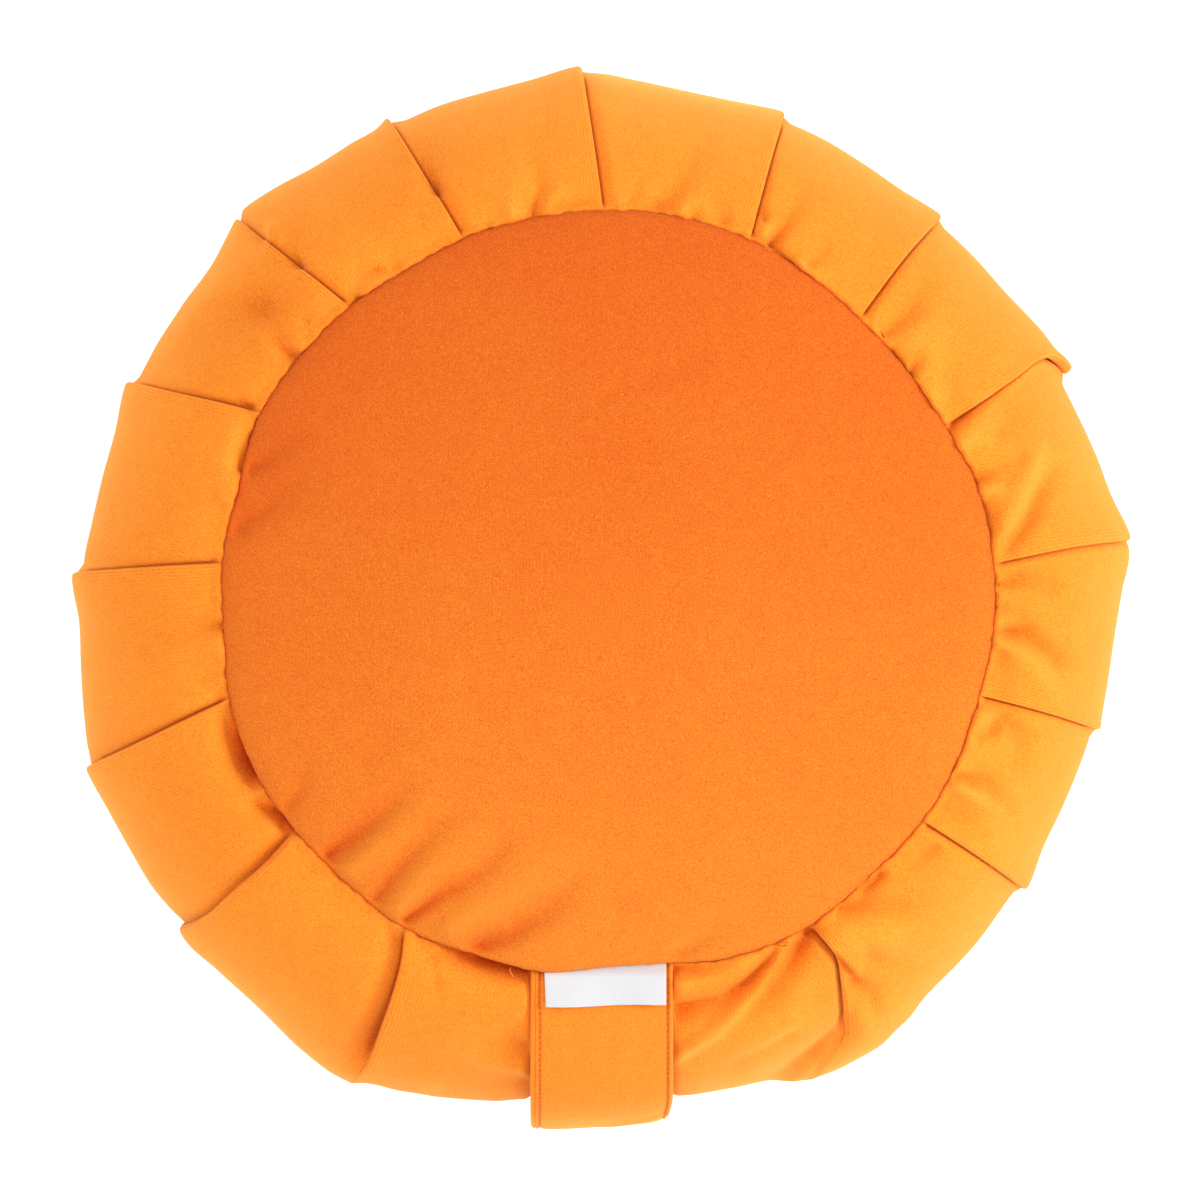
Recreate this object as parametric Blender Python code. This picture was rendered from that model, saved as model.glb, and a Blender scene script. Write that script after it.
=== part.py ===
"""Zafu: a round, filled floor cushion with a knife-pleated side, a carrying strap and a small sewn label.

Metres, +Z up. The cushion lies on its base panel. The origin is the middle of the flat underside, +Z points
up through the crown, and the carrying strap is at -Y. Angles are in degrees, counter-clockwise from +X.
"""

import math
from collections import namedtuple

import bmesh
import bpy
from mathutils import Vector

MM = 0.001

# Overall sizes
HEIGHT = 140 * MM  # floor to the top of the crown
TOP_LEDGE_Z = 124.5 * MM  # bottom of the crease of the top seam
BASE_LEDGE_Z = 6.5 * MM  # the same at the base seam
MIDDLE_Z = (TOP_LEDGE_Z + BASE_LEDGE_Z) / 2
HALF_SIDE = (TOP_LEDGE_Z - BASE_LEDGE_Z) / 2

# Cloth and clearances
CLOTH = 2.0 * MM  # thickness of a panel
GAP = 0.3 * MM  # between two pieces that touch
SEAM_WALL = 0.3 * MM  # the side's wall stands this far outside the seam line
PANEL_INSET = 0.1 * MM  # a panel's edge stops this far inside it

# Panels
EDGE_ROLL = 2.2 * MM  # height that a panel gains as it rolls out of the seam
EDGE_ROLL_LENGTH = 4.0 * MM
DOME_POWER = 2.2
REST_SHARE = 0.86  # share of the base panel's radius that lies flat
TOP_RINGS = ((1.0, 68), (0.975, 68), (0.93, 68), (0.86, 68), (0.76, 68), (0.60, 34), (0.42, 34), (0.20, 17))
BASE_RINGS = ((1.0, 68), (0.955, 68), (0.91, 68), (0.86, 68), (0.50, 34), (0.20, 17))  # share of radius, columns

# Side: knife pleats
SEAM_PLEAT = 2.1 * MM  # how thick a pleat's folded edge stands at the seams
SEAM_FLOOR = 0.5 * MM  # how high the cloth beside it stands
TOP_SHOULDER = 2.6 * MM  # how far the side puffs up beside the top seam
BASE_SHOULDER = 0.6 * MM
SHOULDER_END = 0.30  # share of the side's height where that puff has gone
PLEAT_GAP = 0.8 * MM  # open groove under a folded edge
ROOT_STEP = 3 * MM  # clear of a folded edge, the cloth comes up in two steps
ROOT_REACH = 9 * MM
LIP_RISE = 9 * MM  # the cloth starts to lift this far before its folded edge
SIDE_ROWS = (0, 0.015, 0.045, 0.10, 0.17, 0.25, 0.34, 0.43, 0.52, 0.61, 0.70, 0.79, 0.88, 0.95, 0.985, 1)

# One row for each pleat, clockwise from the back. A row is a folded edge and the panel of cloth after it.
#   seam_deg, rim_deg: where the edge meets the seam, and where it crosses the widest line
#   seam: radius of the seam there. edge, root, mid: how far out the edge, the cloth just clear of it, and
#   the middle of the panel reach at the widest line. fold: thickness of the fold. tuck: its depth
Pleat = namedtuple("Pleat", "seam_deg rim_deg seam edge root mid fold tuck")
PLEATS = [
    Pleat(90.2, 92.3, 126.0, 179.5, 175.0, 173.0, 3.2, 7.0),
    Pleat(67.9, 69.6, 125.2, 174.0, 171.2, 170.0, 3.0, 7.0),
    Pleat(47.6, 48.6, 122.8, 171.2, 169.2, 170.0, 2.6, 7.0),
    Pleat(26.9, 25.8, 123.7, 175.5, 170.0, 172.0, 4.2, 8.0),
    Pleat(5.1, 6.2, 127.0, 178.3, 175.0, 171.9, 3.0, 7.0),
    Pleat(-14.6, -14.8, 127.4, 172.5, 169.5, 169.6, 3.0, 7.0),
    Pleat(-35.0, -34.6, 126.7, 173.0, 170.0, 171.9, 3.0, 7.0),
    Pleat(-58.2, -63.5, 127.0, 178.0, 176.0, 171.0, 3.6, 8.0),
    Pleat(-81.5, -84.0, 120.4, 170.0, 168.0, 167.0, 2.0, 5.0),
    Pleat(-98.5, -97.0, 122.0, 170.0, 170.0, 176.0, 2.0, 5.0),
    Pleat(-121.2, -115.7, 125.7, 180.8, 183.5, 181.3, 3.6, 7.0),
    Pleat(-142.7, -142.3, 125.2, 181.8, 180.3, 181.0, 3.0, 7.0),
    Pleat(-164.8, -162.0, 126.4, 183.3, 180.6, 177.9, 3.0, 7.0),
    Pleat(-184.9, -182.7, 124.4, 179.3, 175.3, 174.2, 3.2, 7.0),
    Pleat(-208.2, -204.6, 127.3, 176.5, 173.5, 173.0, 3.0, 7.0),
    Pleat(-228.8, -226.0, 125.2, 176.4, 179.0, 175.2, 3.0, 7.0),
    Pleat(-248.5, -245.8, 125.3, 176.8, 174.6, 175.2, 3.0, 7.0),
]

# Soft troughs where the top panel is dragged, from the seam inwards, all in millimetres
Trough = namedtuple("Trough", "start_x start_y end_x end_y half_width depth")
TOP_TROUGHS = [
    Trough(-119, 22, -97, 44, 7, 0.9),
    Trough(-91, -81, -69, -48, 6, 1.2),
    Trough(-75, -95, -58, -73, 5, 1.0),
    Trough(-67, -104, -28, -79, 6, 1.5),
    Trough(-45, -112, -8, -94, 6, 1.3),
    Trough(24, -106, 40, -97, 6, 0.9),
]

# Soft ridges on the side, each end an angle and a share of the way down. A minus height is a trough
Ridge = namedtuple("Ridge", "start_deg start_v end_deg end_v half_width height")
SIDE_RIDGES = [
    Ridge(-60, 0.06, -80, 0.34, 5, 2.4),
    Ridge(-70, 0.30, -79, 0.46, 6, -1.2),
    Ridge(-100, 0.36, -111, 0.30, 6, -1.0),
]
RIDGE_SCALE = 3 * MM  # along the widest line for each degree
RIDGE_DROP = 150 * MM  # along the side from the top seam to the base seam

# Carrying strap, the bed that it presses into the side, and the label
STRAP_X = -2 * MM
STRAP_WIDTH = 45 * MM
STRAP_THICK = 2.6 * MM
STRAP_REACH = 178.3 * MM  # outer face at the widest line
STRAP_SQUARENESS = 2.5  # 2 is an ellipse, more is squarer
STRAP_EDGE = 0.9 * MM  # roundness of its long edges
STRAP_STATIONS = 32
BED_REACH = 166 * MM  # the side under the strap, at the widest line
BED_PRESS = 5.0 * MM  # how far the seams sink there
BED_PRESS_END = 0.16  # share of the side's height where that has gone
BED_HALF_WIDTH = 25 * MM
BED_EASE = 10 * MM
LABEL_WIDTH = 40 * MM
LABEL_LENGTH = 14.5 * MM
LABEL_THICK = 1.0 * MM
LABEL_LIFT = 0.8 * MM  # the folded end stands off the strap
LABEL_STATIONS = 8


def smooth(share):
    """0 to 1 with level ends, for a share that may lie outside 0 to 1."""
    share = min(max(share, 0.0), 1.0)
    return share * share * (3 - 2 * share)


def mix(a, b, share):
    return a + (b - a) * share


def on_segment(x, y, x0, y0, x1, y1):
    """The share along a segment that is nearest to a point, and the distance to it."""
    dx, dy = x1 - x0, y1 - y0
    along = ((x - x0) * dx + (y - y0) * dy) / (dx * dx + dy * dy)
    along = min(max(along, 0.0), 1.0)
    return along, math.hypot(x - x0 - along * dx, y - y0 - along * dy)


# ---------------------------------------------------------------- seam line and side profile


def seam_radius(theta):
    """The seam's radius at an angle in radians, eased from one pleat's edge to the next."""
    first = PLEATS[0].seam_deg
    turned = first - (first - math.degrees(theta)) % 360
    for here, after in zip(PLEATS, PLEATS[1:] + PLEATS[:1]):
        after_deg = after.seam_deg if after is not PLEATS[0] else first - 360
        if here.seam_deg >= turned > after_deg:
            share = (here.seam_deg - turned) / (here.seam_deg - after_deg)
            return mix(here.seam, after.seam, smooth(share)) * MM
    return PLEATS[0].seam * MM


def strap_bed(x, y):
    """1 under the strap, 0 clear of it."""
    return 1 - smooth((abs(x - STRAP_X) - BED_HALF_WIDTH) / BED_EASE) if y < 0 else 0.0


def bed_press(v):
    """How far the side is pressed in under the strap, on top of its smaller reach."""
    return BED_PRESS * (1 - smooth(min(v, 1 - v) / BED_PRESS_END))


def side_ridges(theta, v):
    """Height that the soft ridges add at an angle, a share v of the way down the side."""
    degrees = (math.degrees(theta) + 180) % 360 - 180
    total = 0.0
    for ridge in SIDE_RIDGES:
        start = ridge.start_deg * RIDGE_SCALE, ridge.start_v * RIDGE_DROP
        end = ridge.end_deg * RIDGE_SCALE, ridge.end_v * RIDGE_DROP
        along, away = on_segment(degrees * RIDGE_SCALE, v * RIDGE_DROP, *start, *end)
        fade = math.exp(-((away / (ridge.half_width * MM)) ** 2))
        total += ridge.height * MM * fade * mix(0.5, 1.0, math.sin(math.pi * along))
    return total


def shoulder(v):
    """The puff of cloth beside the top and base seams."""
    near = min(v, 1 - v)
    puff = smooth(near / 0.06) * (1 - smooth((near - 0.06) / (SHOULDER_END - 0.06)))
    return puff * (TOP_SHOULDER if v < 0.5 else BASE_SHOULDER)


def side_point(theta, v, reach, out):
    """A point of the side: theta round, v from 0 at the top seam to 1 at the base seam.

    Reach is the radius at the widest line, and out stands the point off along the profile's normal.
    """
    turn = math.pi * v
    seam = seam_radius(theta) + SEAM_WALL
    bed = strap_bed(mix(seam, reach, math.sin(turn)) * math.cos(theta), math.sin(theta))
    bulge = mix(reach, min(reach, BED_REACH), bed) - seam
    normal = Vector((HALF_SIDE * math.sin(turn), bulge * math.cos(turn))).normalized()
    out += (1 - bed) * (shoulder(v) + side_ridges(theta, v)) - bed * bed_press(v)
    radius = seam + bulge * math.sin(turn) + out * normal.x
    height = MIDDLE_Z + HALF_SIDE * math.cos(turn) + out * normal.y
    return Vector((radius * math.cos(theta), radius * math.sin(theta), height))


# ---------------------------------------------------------------- pleats


def cloth_stations(width):
    """Distances across a pleat, past its hidden start, that suit narrow pleats too."""
    root = min(ROOT_REACH, 0.25 * width)
    return [min(ROOT_STEP, root / 3), root, 0.32 * width, 0.55 * width, 0.75 * width, width - min(LIP_RISE, 0.2 * width)]


def seam_section(width, after):
    """(along, out) across one pleat at a seam: a low step with no overhang, because the seam holds it flat."""
    top = SEAM_FLOOR + SEAM_PLEAT * min(1.0, after.fold / 3)
    places = [0, 0.3 * MM] + cloth_stations(width) + [width - 0.8 * MM, width, width, width]
    shares = [0, 0, 0, 0.05, 0.2, 0.4, 0.6, 0.8, 1.0, 0.66, 0.38, 0.18]
    return [(along, mix(SEAM_FLOOR, top, share)) for along, share in zip(places, shares)]


def lip_reach(pleat, after):
    """The reach of a pleat's cloth where it starts to lift to its folded edge."""
    return mix(pleat.mid, after.edge, 0.35)


def hem_reach(pleat, after, back):
    """The reach of a pleat's cloth a distance in millimetres back from its folded edge."""
    return mix(after.edge, lip_reach(pleat, after), smooth(back * MM / LIP_RISE))


def rim_section(width, before, pleat, after):
    """(along, reach, out) across one pleat at the widest line: its cloth, then its edge folded back under."""
    step, root, *rest = cloth_stations(width)
    lip = lip_reach(pleat, after)
    floor = -pleat.fold * MM - PLEAT_GAP
    tucked = [(-back * MM, hem_reach(before, pleat, back), floor) for back in (pleat.tuck, 0.3 * pleat.tuck)]
    rise = [(step, mix(pleat.edge, pleat.root, 0.5), 0.5 * floor), (root, pleat.root, 0)]
    reaches = [mix(pleat.root, pleat.mid, 0.7), pleat.mid, mix(pleat.mid, lip, 0.4), lip]
    cloth = [(along, reach, 0) for along, reach in zip(rest, reaches)]
    half = after.fold / 2
    bends = [(half, 0), (0, -half), (half, -after.fold), (after.tuck, -after.fold)]
    fold = [(width - back * MM, hem_reach(pleat, after, back), out * MM) for back, out in bends]
    return [(along, reach * MM, out) for along, reach, out in tucked + rise + cloth + fold]


def pleat_span(index, v):
    """A pleat, the next one, and the angles in radians where its cloth starts and ends at a share v down."""
    pleat, after = PLEATS[index], PLEATS[(index + 1) % len(PLEATS)]
    lean = math.sin(math.pi * v)
    start = mix(pleat.seam_deg, pleat.rim_deg, lean)
    end = mix(after.seam_deg, after.rim_deg, lean) - 360 * ((index + 1) // len(PLEATS))
    return pleat, after, math.radians(start), math.radians(end)


def side_ring(v):
    """The closed outline of the pleated side at a share v of the way down."""
    lean = math.sin(math.pi * v) ** 0.6
    ring = []
    for index in range(len(PLEATS)):
        pleat, after, start, end = pleat_span(index, v)
        radius = mix(pleat.seam, pleat.edge, math.sin(math.pi * v)) * MM
        width = (start - end) * radius
        at_seam, at_rim = seam_section(width, after), rim_section(width, PLEATS[index - 1], pleat, after)
        for (seam_along, seam_out), (along, reach, out) in zip(at_seam, at_rim):
            theta = start - mix(seam_along, along, lean) / radius
            ring.append(side_point(theta, v, reach, mix(seam_out, out, lean)))
    return ring


def seam_foot(v, z):
    """The foot of the crease's wall under a seam, where the pleats have opened out flat."""
    ring = []
    for index in range(len(PLEATS)):
        pleat, after, start, end = pleat_span(index, v)
        radius = pleat.seam * MM
        width = (start - end) * radius
        spread = [0.6 * MM, 1.2 * MM] + cloth_stations(width)
        spread += [width - 1.8 * MM, width - 1.2 * MM, width - 0.6 * MM, width]
        for along in spread:
            theta = start - along / radius
            around = seam_radius(theta) + SEAM_WALL - 0.05 * MM
            x, y = around * math.cos(theta), around * math.sin(theta)
            sink = strap_bed(x, y) * BED_PRESS
            ring.append(Vector((x, y, z - sink if v == 0 else z + sink)))
    return ring


# ---------------------------------------------------------------- panels


def crown(share, x, y):
    """Height of the top panel's upper face, a share of the way from the middle to the seam."""
    from_seam = (1 - share) * PLEATS[0].seam * MM
    roll = EDGE_ROLL * (1 - math.exp(-from_seam / EDGE_ROLL_LENGTH))
    edge_z = TOP_LEDGE_Z + GAP + CLOTH
    dome = (HEIGHT - edge_z - EDGE_ROLL) * (1 - share**DOME_POWER)
    dip = 0.0
    for trough in TOP_TROUGHS:
        along, away = on_segment(x, y, *(value * MM for value in trough[:4]))
        fade = math.exp(-((away / (trough.half_width * MM)) ** 2)) * (1 - 0.7 * along)
        dip += trough.depth * MM * fade * smooth((1 - share) / 0.04)
    return edge_z + roll + dome - dip


def underside(share):
    """Height of the base panel's lower face: flat in the middle, drawn up to the seam at its edge."""
    edge_z = BASE_LEDGE_Z - GAP - CLOTH
    return edge_z * smooth((share - REST_SHARE) / (1 - REST_SHARE))


def disc_rings(layout, height_at):
    """Rings of points over a disc, seam first, and its middle, all at height_at(share, x, y)."""
    rings = []
    for share, columns in layout:
        ring = []
        for column in range(columns):
            theta = math.radians(PLEATS[0].seam_deg) - 2 * math.pi * column / columns
            radius = share * (seam_radius(theta) - PANEL_INSET)
            x, y = radius * math.cos(theta), radius * math.sin(theta)
            ring.append(Vector((x, y, height_at(share, x, y))))
        rings.append(ring)
    return rings, Vector((0, 0, height_at(0, 0, 0)))


# ---------------------------------------------------------------- mesh making


def new_object(name, bm, material):
    """A closed mesh as an object, with its faces turned outwards."""
    bmesh.ops.recalc_face_normals(bm, faces=bm.faces)
    mesh = bpy.data.meshes.new(name)
    bm.to_mesh(mesh)
    bm.free()
    mesh.shade_smooth()
    mesh.set_sharp_from_angle(angle=math.radians(50))
    mesh.materials.append(material)
    obj = bpy.data.objects.new(name, mesh)
    bpy.context.scene.collection.objects.link(obj)
    return obj


def add_ring(bm, points):
    return [bm.verts.new(point) for point in points]


def join_rings(bm, first, second):
    """Quads between two closed rings that match point for point."""
    for k, vert in enumerate(first):
        after = (k + 1) % len(first)
        bm.faces.new((vert, first[after], second[after], second[k]))


def turned_angles(ring):
    """The clockwise angle of each point of a ring from its first, with the full turn at the end."""
    angles = [-math.atan2(vert.co.y, vert.co.x) for vert in ring]
    return [angles[0] + (angle - angles[0]) % (2 * math.pi) for angle in angles] + [angles[0] + 2 * math.pi]


def join_by_angle(bm, first, second):
    """Triangles between two rings round the same middle that both start at about the same angle."""
    a, b = turned_angles(first), turned_angles(second)
    i = j = 0
    while i < len(first) or j < len(second):
        if j >= len(second) or (i < len(first) and a[i + 1] <= b[j + 1]):
            bm.faces.new((first[i], first[(i + 1) % len(first)], second[j % len(second)]))
            i += 1
        else:
            bm.faces.new((second[j], first[i % len(first)], second[(j + 1) % len(second)]))
            j += 1


def add_disc(bm, rings, centre):
    """A disc of rings, returned as its outermost ring."""
    made = [add_ring(bm, ring) for ring in rings]
    for outer, inner in zip(made, made[1:]):
        if len(outer) == len(inner):
            join_rings(bm, outer, inner)
        else:
            join_by_angle(bm, outer, inner)
    middle = bm.verts.new(centre)
    for k, vert in enumerate(made[-1]):
        bm.faces.new((vert, made[-1][(k + 1) % len(made[-1])], middle))
    return made[0]


# ---------------------------------------------------------------- pieces


def make_filled_side(material):
    """The pleated side with its filling: one solid from the face under the top panel to the one over the base."""
    bm = bmesh.new()
    rings = [seam_foot(0, TOP_LEDGE_Z)] + [side_ring(v) for v in SIDE_ROWS] + [seam_foot(1, BASE_LEDGE_Z)]
    made = [add_ring(bm, ring) for ring in rings]
    for upper, lower in zip(made, made[1:]):
        join_rings(bm, upper, lower)
    under_top = disc_rings(TOP_RINGS, lambda share, x, y: crown(share, x, y) - CLOTH - GAP)
    over_base = disc_rings(BASE_RINGS, lambda share, x, y: underside(share) + CLOTH + GAP)
    join_by_angle(bm, made[0], add_disc(bm, *under_top))
    join_by_angle(bm, made[-1], add_disc(bm, *over_base))
    return new_object("filled_side", bm, material)


def make_panel(name, material, layout, lower_face, upper_face):
    """A round panel of cloth between two faces, closed by its cut edge."""
    bm = bmesh.new()
    lower = add_disc(bm, *disc_rings(layout, lower_face))
    upper = add_disc(bm, *disc_rings(layout, upper_face))
    join_rings(bm, lower, upper)
    return new_object(name, bm, material)


def strap_middle(turn):
    """(distance from the cushion's axis, height) of the strap's middle line, turn from 0 at the top seam to pi."""
    start = seam_radius(math.radians(-90)) + SEAM_WALL + 0.5 * MM
    drop = BED_PRESS - SEAM_FLOOR - SEAM_PLEAT - GAP - STRAP_THICK / 2
    reach = STRAP_REACH - STRAP_THICK / 2 - start
    power = 2 / STRAP_SQUARENESS
    side = math.copysign(abs(math.cos(turn)) ** power, math.cos(turn))
    return start + reach * math.sin(turn) ** power, MIDDLE_Z + (HALF_SIDE - drop) * side


def strap_frame(turn):
    """The strap's middle point and its outward normal, both in the plane through the cushion's axis."""
    step = 0.004
    r0, z0 = strap_middle(max(turn - step, 0))
    r1, z1 = strap_middle(min(turn + step, math.pi))
    tangent = Vector((0, -(r1 - r0), z1 - z0)).normalized()
    r, z = strap_middle(turn)
    return Vector((0, -r, z)), Vector((0, tangent.z, -tangent.y))


def make_band(name, material, frames, width, thick, edge):
    """A flat band, its section carried along frames of (middle point, outward normal)."""
    bm = bmesh.new()
    side, top = width / 2, thick / 2
    upper = [(-side, top - edge), (-side + edge, top), (side - edge, top), (side, top - edge)]
    section = upper + [(across, -out) for across, out in reversed(upper)]
    made = []
    for middle, normal in frames:
        made.append(add_ring(bm, [middle + Vector((STRAP_X + across, 0, 0)) + normal * out for across, out in section]))
    for first, second in zip(made, made[1:]):
        join_rings(bm, first, second)
    bm.faces.new(made[0])
    bm.faces.new(made[-1])
    return new_object(name, bm, material)


def make_carry_strap(material):
    """The strap: a slack loop from the top seam to the base seam, clear of the side for a hand."""
    frames = [strap_frame(math.pi * k / STRAP_STATIONS) for k in range(STRAP_STATIONS + 1)]
    return make_band("carry_strap", material, frames, STRAP_WIDTH, STRAP_THICK, STRAP_EDGE)


def make_sewn_label(material):
    """The label: caught in the top seam over the strap, lying on it, its folded end a little lifted."""
    frames = []
    turn, walked = 0.0, 0.0
    place, normal = strap_frame(turn)
    lift = STRAP_THICK / 2 + GAP + LABEL_THICK / 2
    for station in range(LABEL_STATIONS + 1):
        share = station / LABEL_STATIONS
        while walked < LABEL_LENGTH * share:
            turn += 0.0005
            further, normal = strap_frame(turn)
            walked += (further - place).length
            place = further
        frames.append((place + normal * (lift + LABEL_LIFT * share**2), normal))
    return make_band("sewn_label", material, frames, LABEL_WIDTH, LABEL_THICK, LABEL_THICK / 4)


# ---------------------------------------------------------------- finishes


def cloth(name, colour, roughness, sheen):
    material = bpy.data.materials.new(name)
    material.use_nodes = True
    shader = material.node_tree.nodes["Principled BSDF"]
    shader.inputs["Base Color"].default_value = (*colour, 1)
    shader.inputs["Roughness"].default_value = roughness
    shader.inputs["Metallic"].default_value = 0.0
    shader.inputs["Sheen Weight"].default_value = sheen
    return material


def main():
    for obj in list(bpy.data.objects):
        bpy.data.objects.remove(obj)
    side_velvet = cloth("side_velvet", (0.95, 0.30, 0.025), 0.85, 0.6)
    panel_velvet = cloth("panel_velvet", (0.86, 0.20, 0.015), 0.85, 0.6)
    strap_velvet = cloth("strap_velvet", (0.95, 0.31, 0.03), 0.85, 0.5)
    label_satin = cloth("label_satin", (0.86, 0.86, 0.88), 0.5, 0.1)
    make_filled_side(side_velvet)
    make_panel("top_panel", panel_velvet, TOP_RINGS, lambda share, x, y: crown(share, x, y) - CLOTH, crown)
    make_panel(
        "base_panel",
        panel_velvet,
        BASE_RINGS,
        lambda share, x, y: underside(share),
        lambda share, x, y: underside(share) + CLOTH,
    )
    make_carry_strap(strap_velvet)
    make_sewn_label(label_satin)


main()
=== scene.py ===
"""Round, pleated floor cushion, dressed: two velvet panels, a knife-pleated side, a strap and a label.

Metres, +Z up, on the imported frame: the cushion lies on its base panel, and the strap is at -Y. Angles are in
degrees, counter-clockwise from +X, and the pleats run clockwise from the back. A place marked as seen is
where the camera sees it from straight above, in millimetres at the height of the top seam.
"""

import logging
import math
from dataclasses import dataclass
from enum import Enum

import bpy
import numpy as np
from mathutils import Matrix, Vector


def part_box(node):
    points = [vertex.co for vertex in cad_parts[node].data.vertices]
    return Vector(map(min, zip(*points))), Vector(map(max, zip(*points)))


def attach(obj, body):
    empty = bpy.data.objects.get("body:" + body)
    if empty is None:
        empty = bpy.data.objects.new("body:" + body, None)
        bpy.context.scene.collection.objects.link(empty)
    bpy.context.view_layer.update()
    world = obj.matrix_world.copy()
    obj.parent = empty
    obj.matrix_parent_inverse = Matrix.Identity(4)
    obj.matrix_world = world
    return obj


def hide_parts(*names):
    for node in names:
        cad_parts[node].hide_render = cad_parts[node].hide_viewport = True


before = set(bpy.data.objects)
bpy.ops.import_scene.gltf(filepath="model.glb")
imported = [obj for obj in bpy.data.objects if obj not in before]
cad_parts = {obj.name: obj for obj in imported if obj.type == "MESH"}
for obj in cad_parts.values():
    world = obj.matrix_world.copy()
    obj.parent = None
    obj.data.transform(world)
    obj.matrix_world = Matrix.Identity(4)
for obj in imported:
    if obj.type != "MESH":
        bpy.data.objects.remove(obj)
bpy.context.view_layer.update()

MM = 0.001
log = logging.getLogger("cushion")


class Slot(Enum):
    """The record's material slots."""

    SIDE = "side_velvet"
    PANEL = "panel_velvet"
    STRAP = "strap_velvet"
    LABEL = "label_satin"


# ---------------------------------------------------------------- arithmetic on whole arrays


def smooth(share: np.ndarray) -> np.ndarray:
    """0 to 1 with level ends, held at 0 and 1 outside them."""
    share = np.clip(share, 0.0, 1.0)
    return share * share * (3 - 2 * share)


def mix(a: np.ndarray, b: np.ndarray, share: np.ndarray) -> np.ndarray:
    """A where share is 0, b where it is 1, and a straight blend between."""
    return a + (b - a) * share


def eased_curve(at: np.ndarray, places: np.ndarray, values: np.ndarray) -> np.ndarray:
    """A smooth curve through points.

    Between two points it is the cubic that meets both with the slopes of their neighbours' mean.

    Args:
        at: where the curve is wanted.
        places: the points' places, rising.
        values: the points' values.

    Returns:
        The curve's values, in the shape of at.
    """
    places, values = np.asarray(places, float), np.asarray(values, float)
    slopes = np.gradient(values, places)
    k = np.clip(np.searchsorted(places, at, side="right") - 1, 0, len(places) - 2)
    step = places[k + 1] - places[k]
    t = np.clip((at - places[k]) / step, 0.0, 1.0)
    rise = values[k + 1] - values[k]
    bend = slopes[k] * step * t * (1 - t) ** 2 - slopes[k + 1] * step * t * t * (1 - t)
    return values[k] + rise * t * t * (3 - 2 * t) + bend


# ---------------------------------------------------------------- meshes from arrays


def grid_quads(rows: int, columns: int, wrap: bool) -> np.ndarray:
    """Corner numbers of the quads of a grid whose points are numbered row by row.

    Args:
        rows: how many rows of points.
        columns: how many points in a row.
        wrap: whether the last column joins the first.

    Returns:
        One row of four corners for each quad.
    """
    spans = columns if wrap else columns - 1
    row, column = np.meshgrid(np.arange(rows - 1), np.arange(spans), indexing="ij")
    after = (column + 1) % columns
    corners = [(row, column), (row, after), (row + 1, after), (row + 1, column)]
    return np.stack([r * columns + c for r, c in corners], axis=-1).reshape(-1, 4)


def fan(pole: int, ring: np.ndarray) -> np.ndarray:
    """Triangles from a pole to each side of a closed ring of points, in the ring's own turning."""
    return np.stack([np.full(len(ring), pole), ring, np.roll(ring, -1)], axis=-1)


def tube(rings: np.ndarray, reverse: bool = False) -> tuple[np.ndarray, tuple[np.ndarray, np.ndarray]]:
    """A skin over closed rings of points, shut at both ends by a fan to the middle of the ring there.

    Args:
        rings: rings by points by x, y, z.
        reverse: whether its faces turn the other way.

    Returns:
        Its points with the two poles last, and its quads and triangles.
    """
    count, columns = rings.shape[:2]
    size = count * columns
    ring_numbers = np.arange(size).reshape(count, columns)
    points = np.concatenate([rings.reshape(-1, 3), [rings[0].mean(axis=0), rings[-1].mean(axis=0)]])
    quads = grid_quads(count, columns, wrap=True)
    triangles = np.concatenate([fan(size, ring_numbers[0])[:, ::-1], fan(size + 1, ring_numbers[-1])])
    turn = -1 if reverse else 1
    return points, (quads[:, ::turn], triangles[:, ::turn])


def two_faced(upper: np.ndarray, lower: np.ndarray, reverse: bool = False) -> tuple[np.ndarray, np.ndarray]:
    """A thin sheet from two faces on the same grid, joined round their edge.

    Args:
        upper: rows by columns by x, y, z.
        lower: the same for the face under it.
        reverse: whether its faces turn the other way.

    Returns:
        Its points, the upper face's first, and its quads.
    """
    rows, columns = upper.shape[:2]
    size = rows * columns
    face = grid_quads(rows, columns, wrap=False)
    numbers = np.arange(size).reshape(rows, columns)
    edge = np.concatenate([numbers[0, :-1], numbers[:-1, -1], numbers[-1, :0:-1], numbers[:0:-1, 0]])
    after = np.roll(edge, -1)
    wall = np.stack([edge, edge + size, after + size, after], axis=-1)
    quads = np.concatenate([face, face[:, ::-1] + size, wall])
    return np.concatenate([upper.reshape(-1, 3), lower.reshape(-1, 3)]), quads[:, ::-1] if reverse else quads


def add_object(name: str, data: bpy.types.ID, place: tuple[float, ...] = (0, 0, 0)) -> bpy.types.Object:
    """Puts an object in the scene, at the origin or at a place."""
    obj = bpy.data.objects.new(name, data)
    obj.location = place
    bpy.context.scene.collection.objects.link(obj)
    return obj


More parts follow.
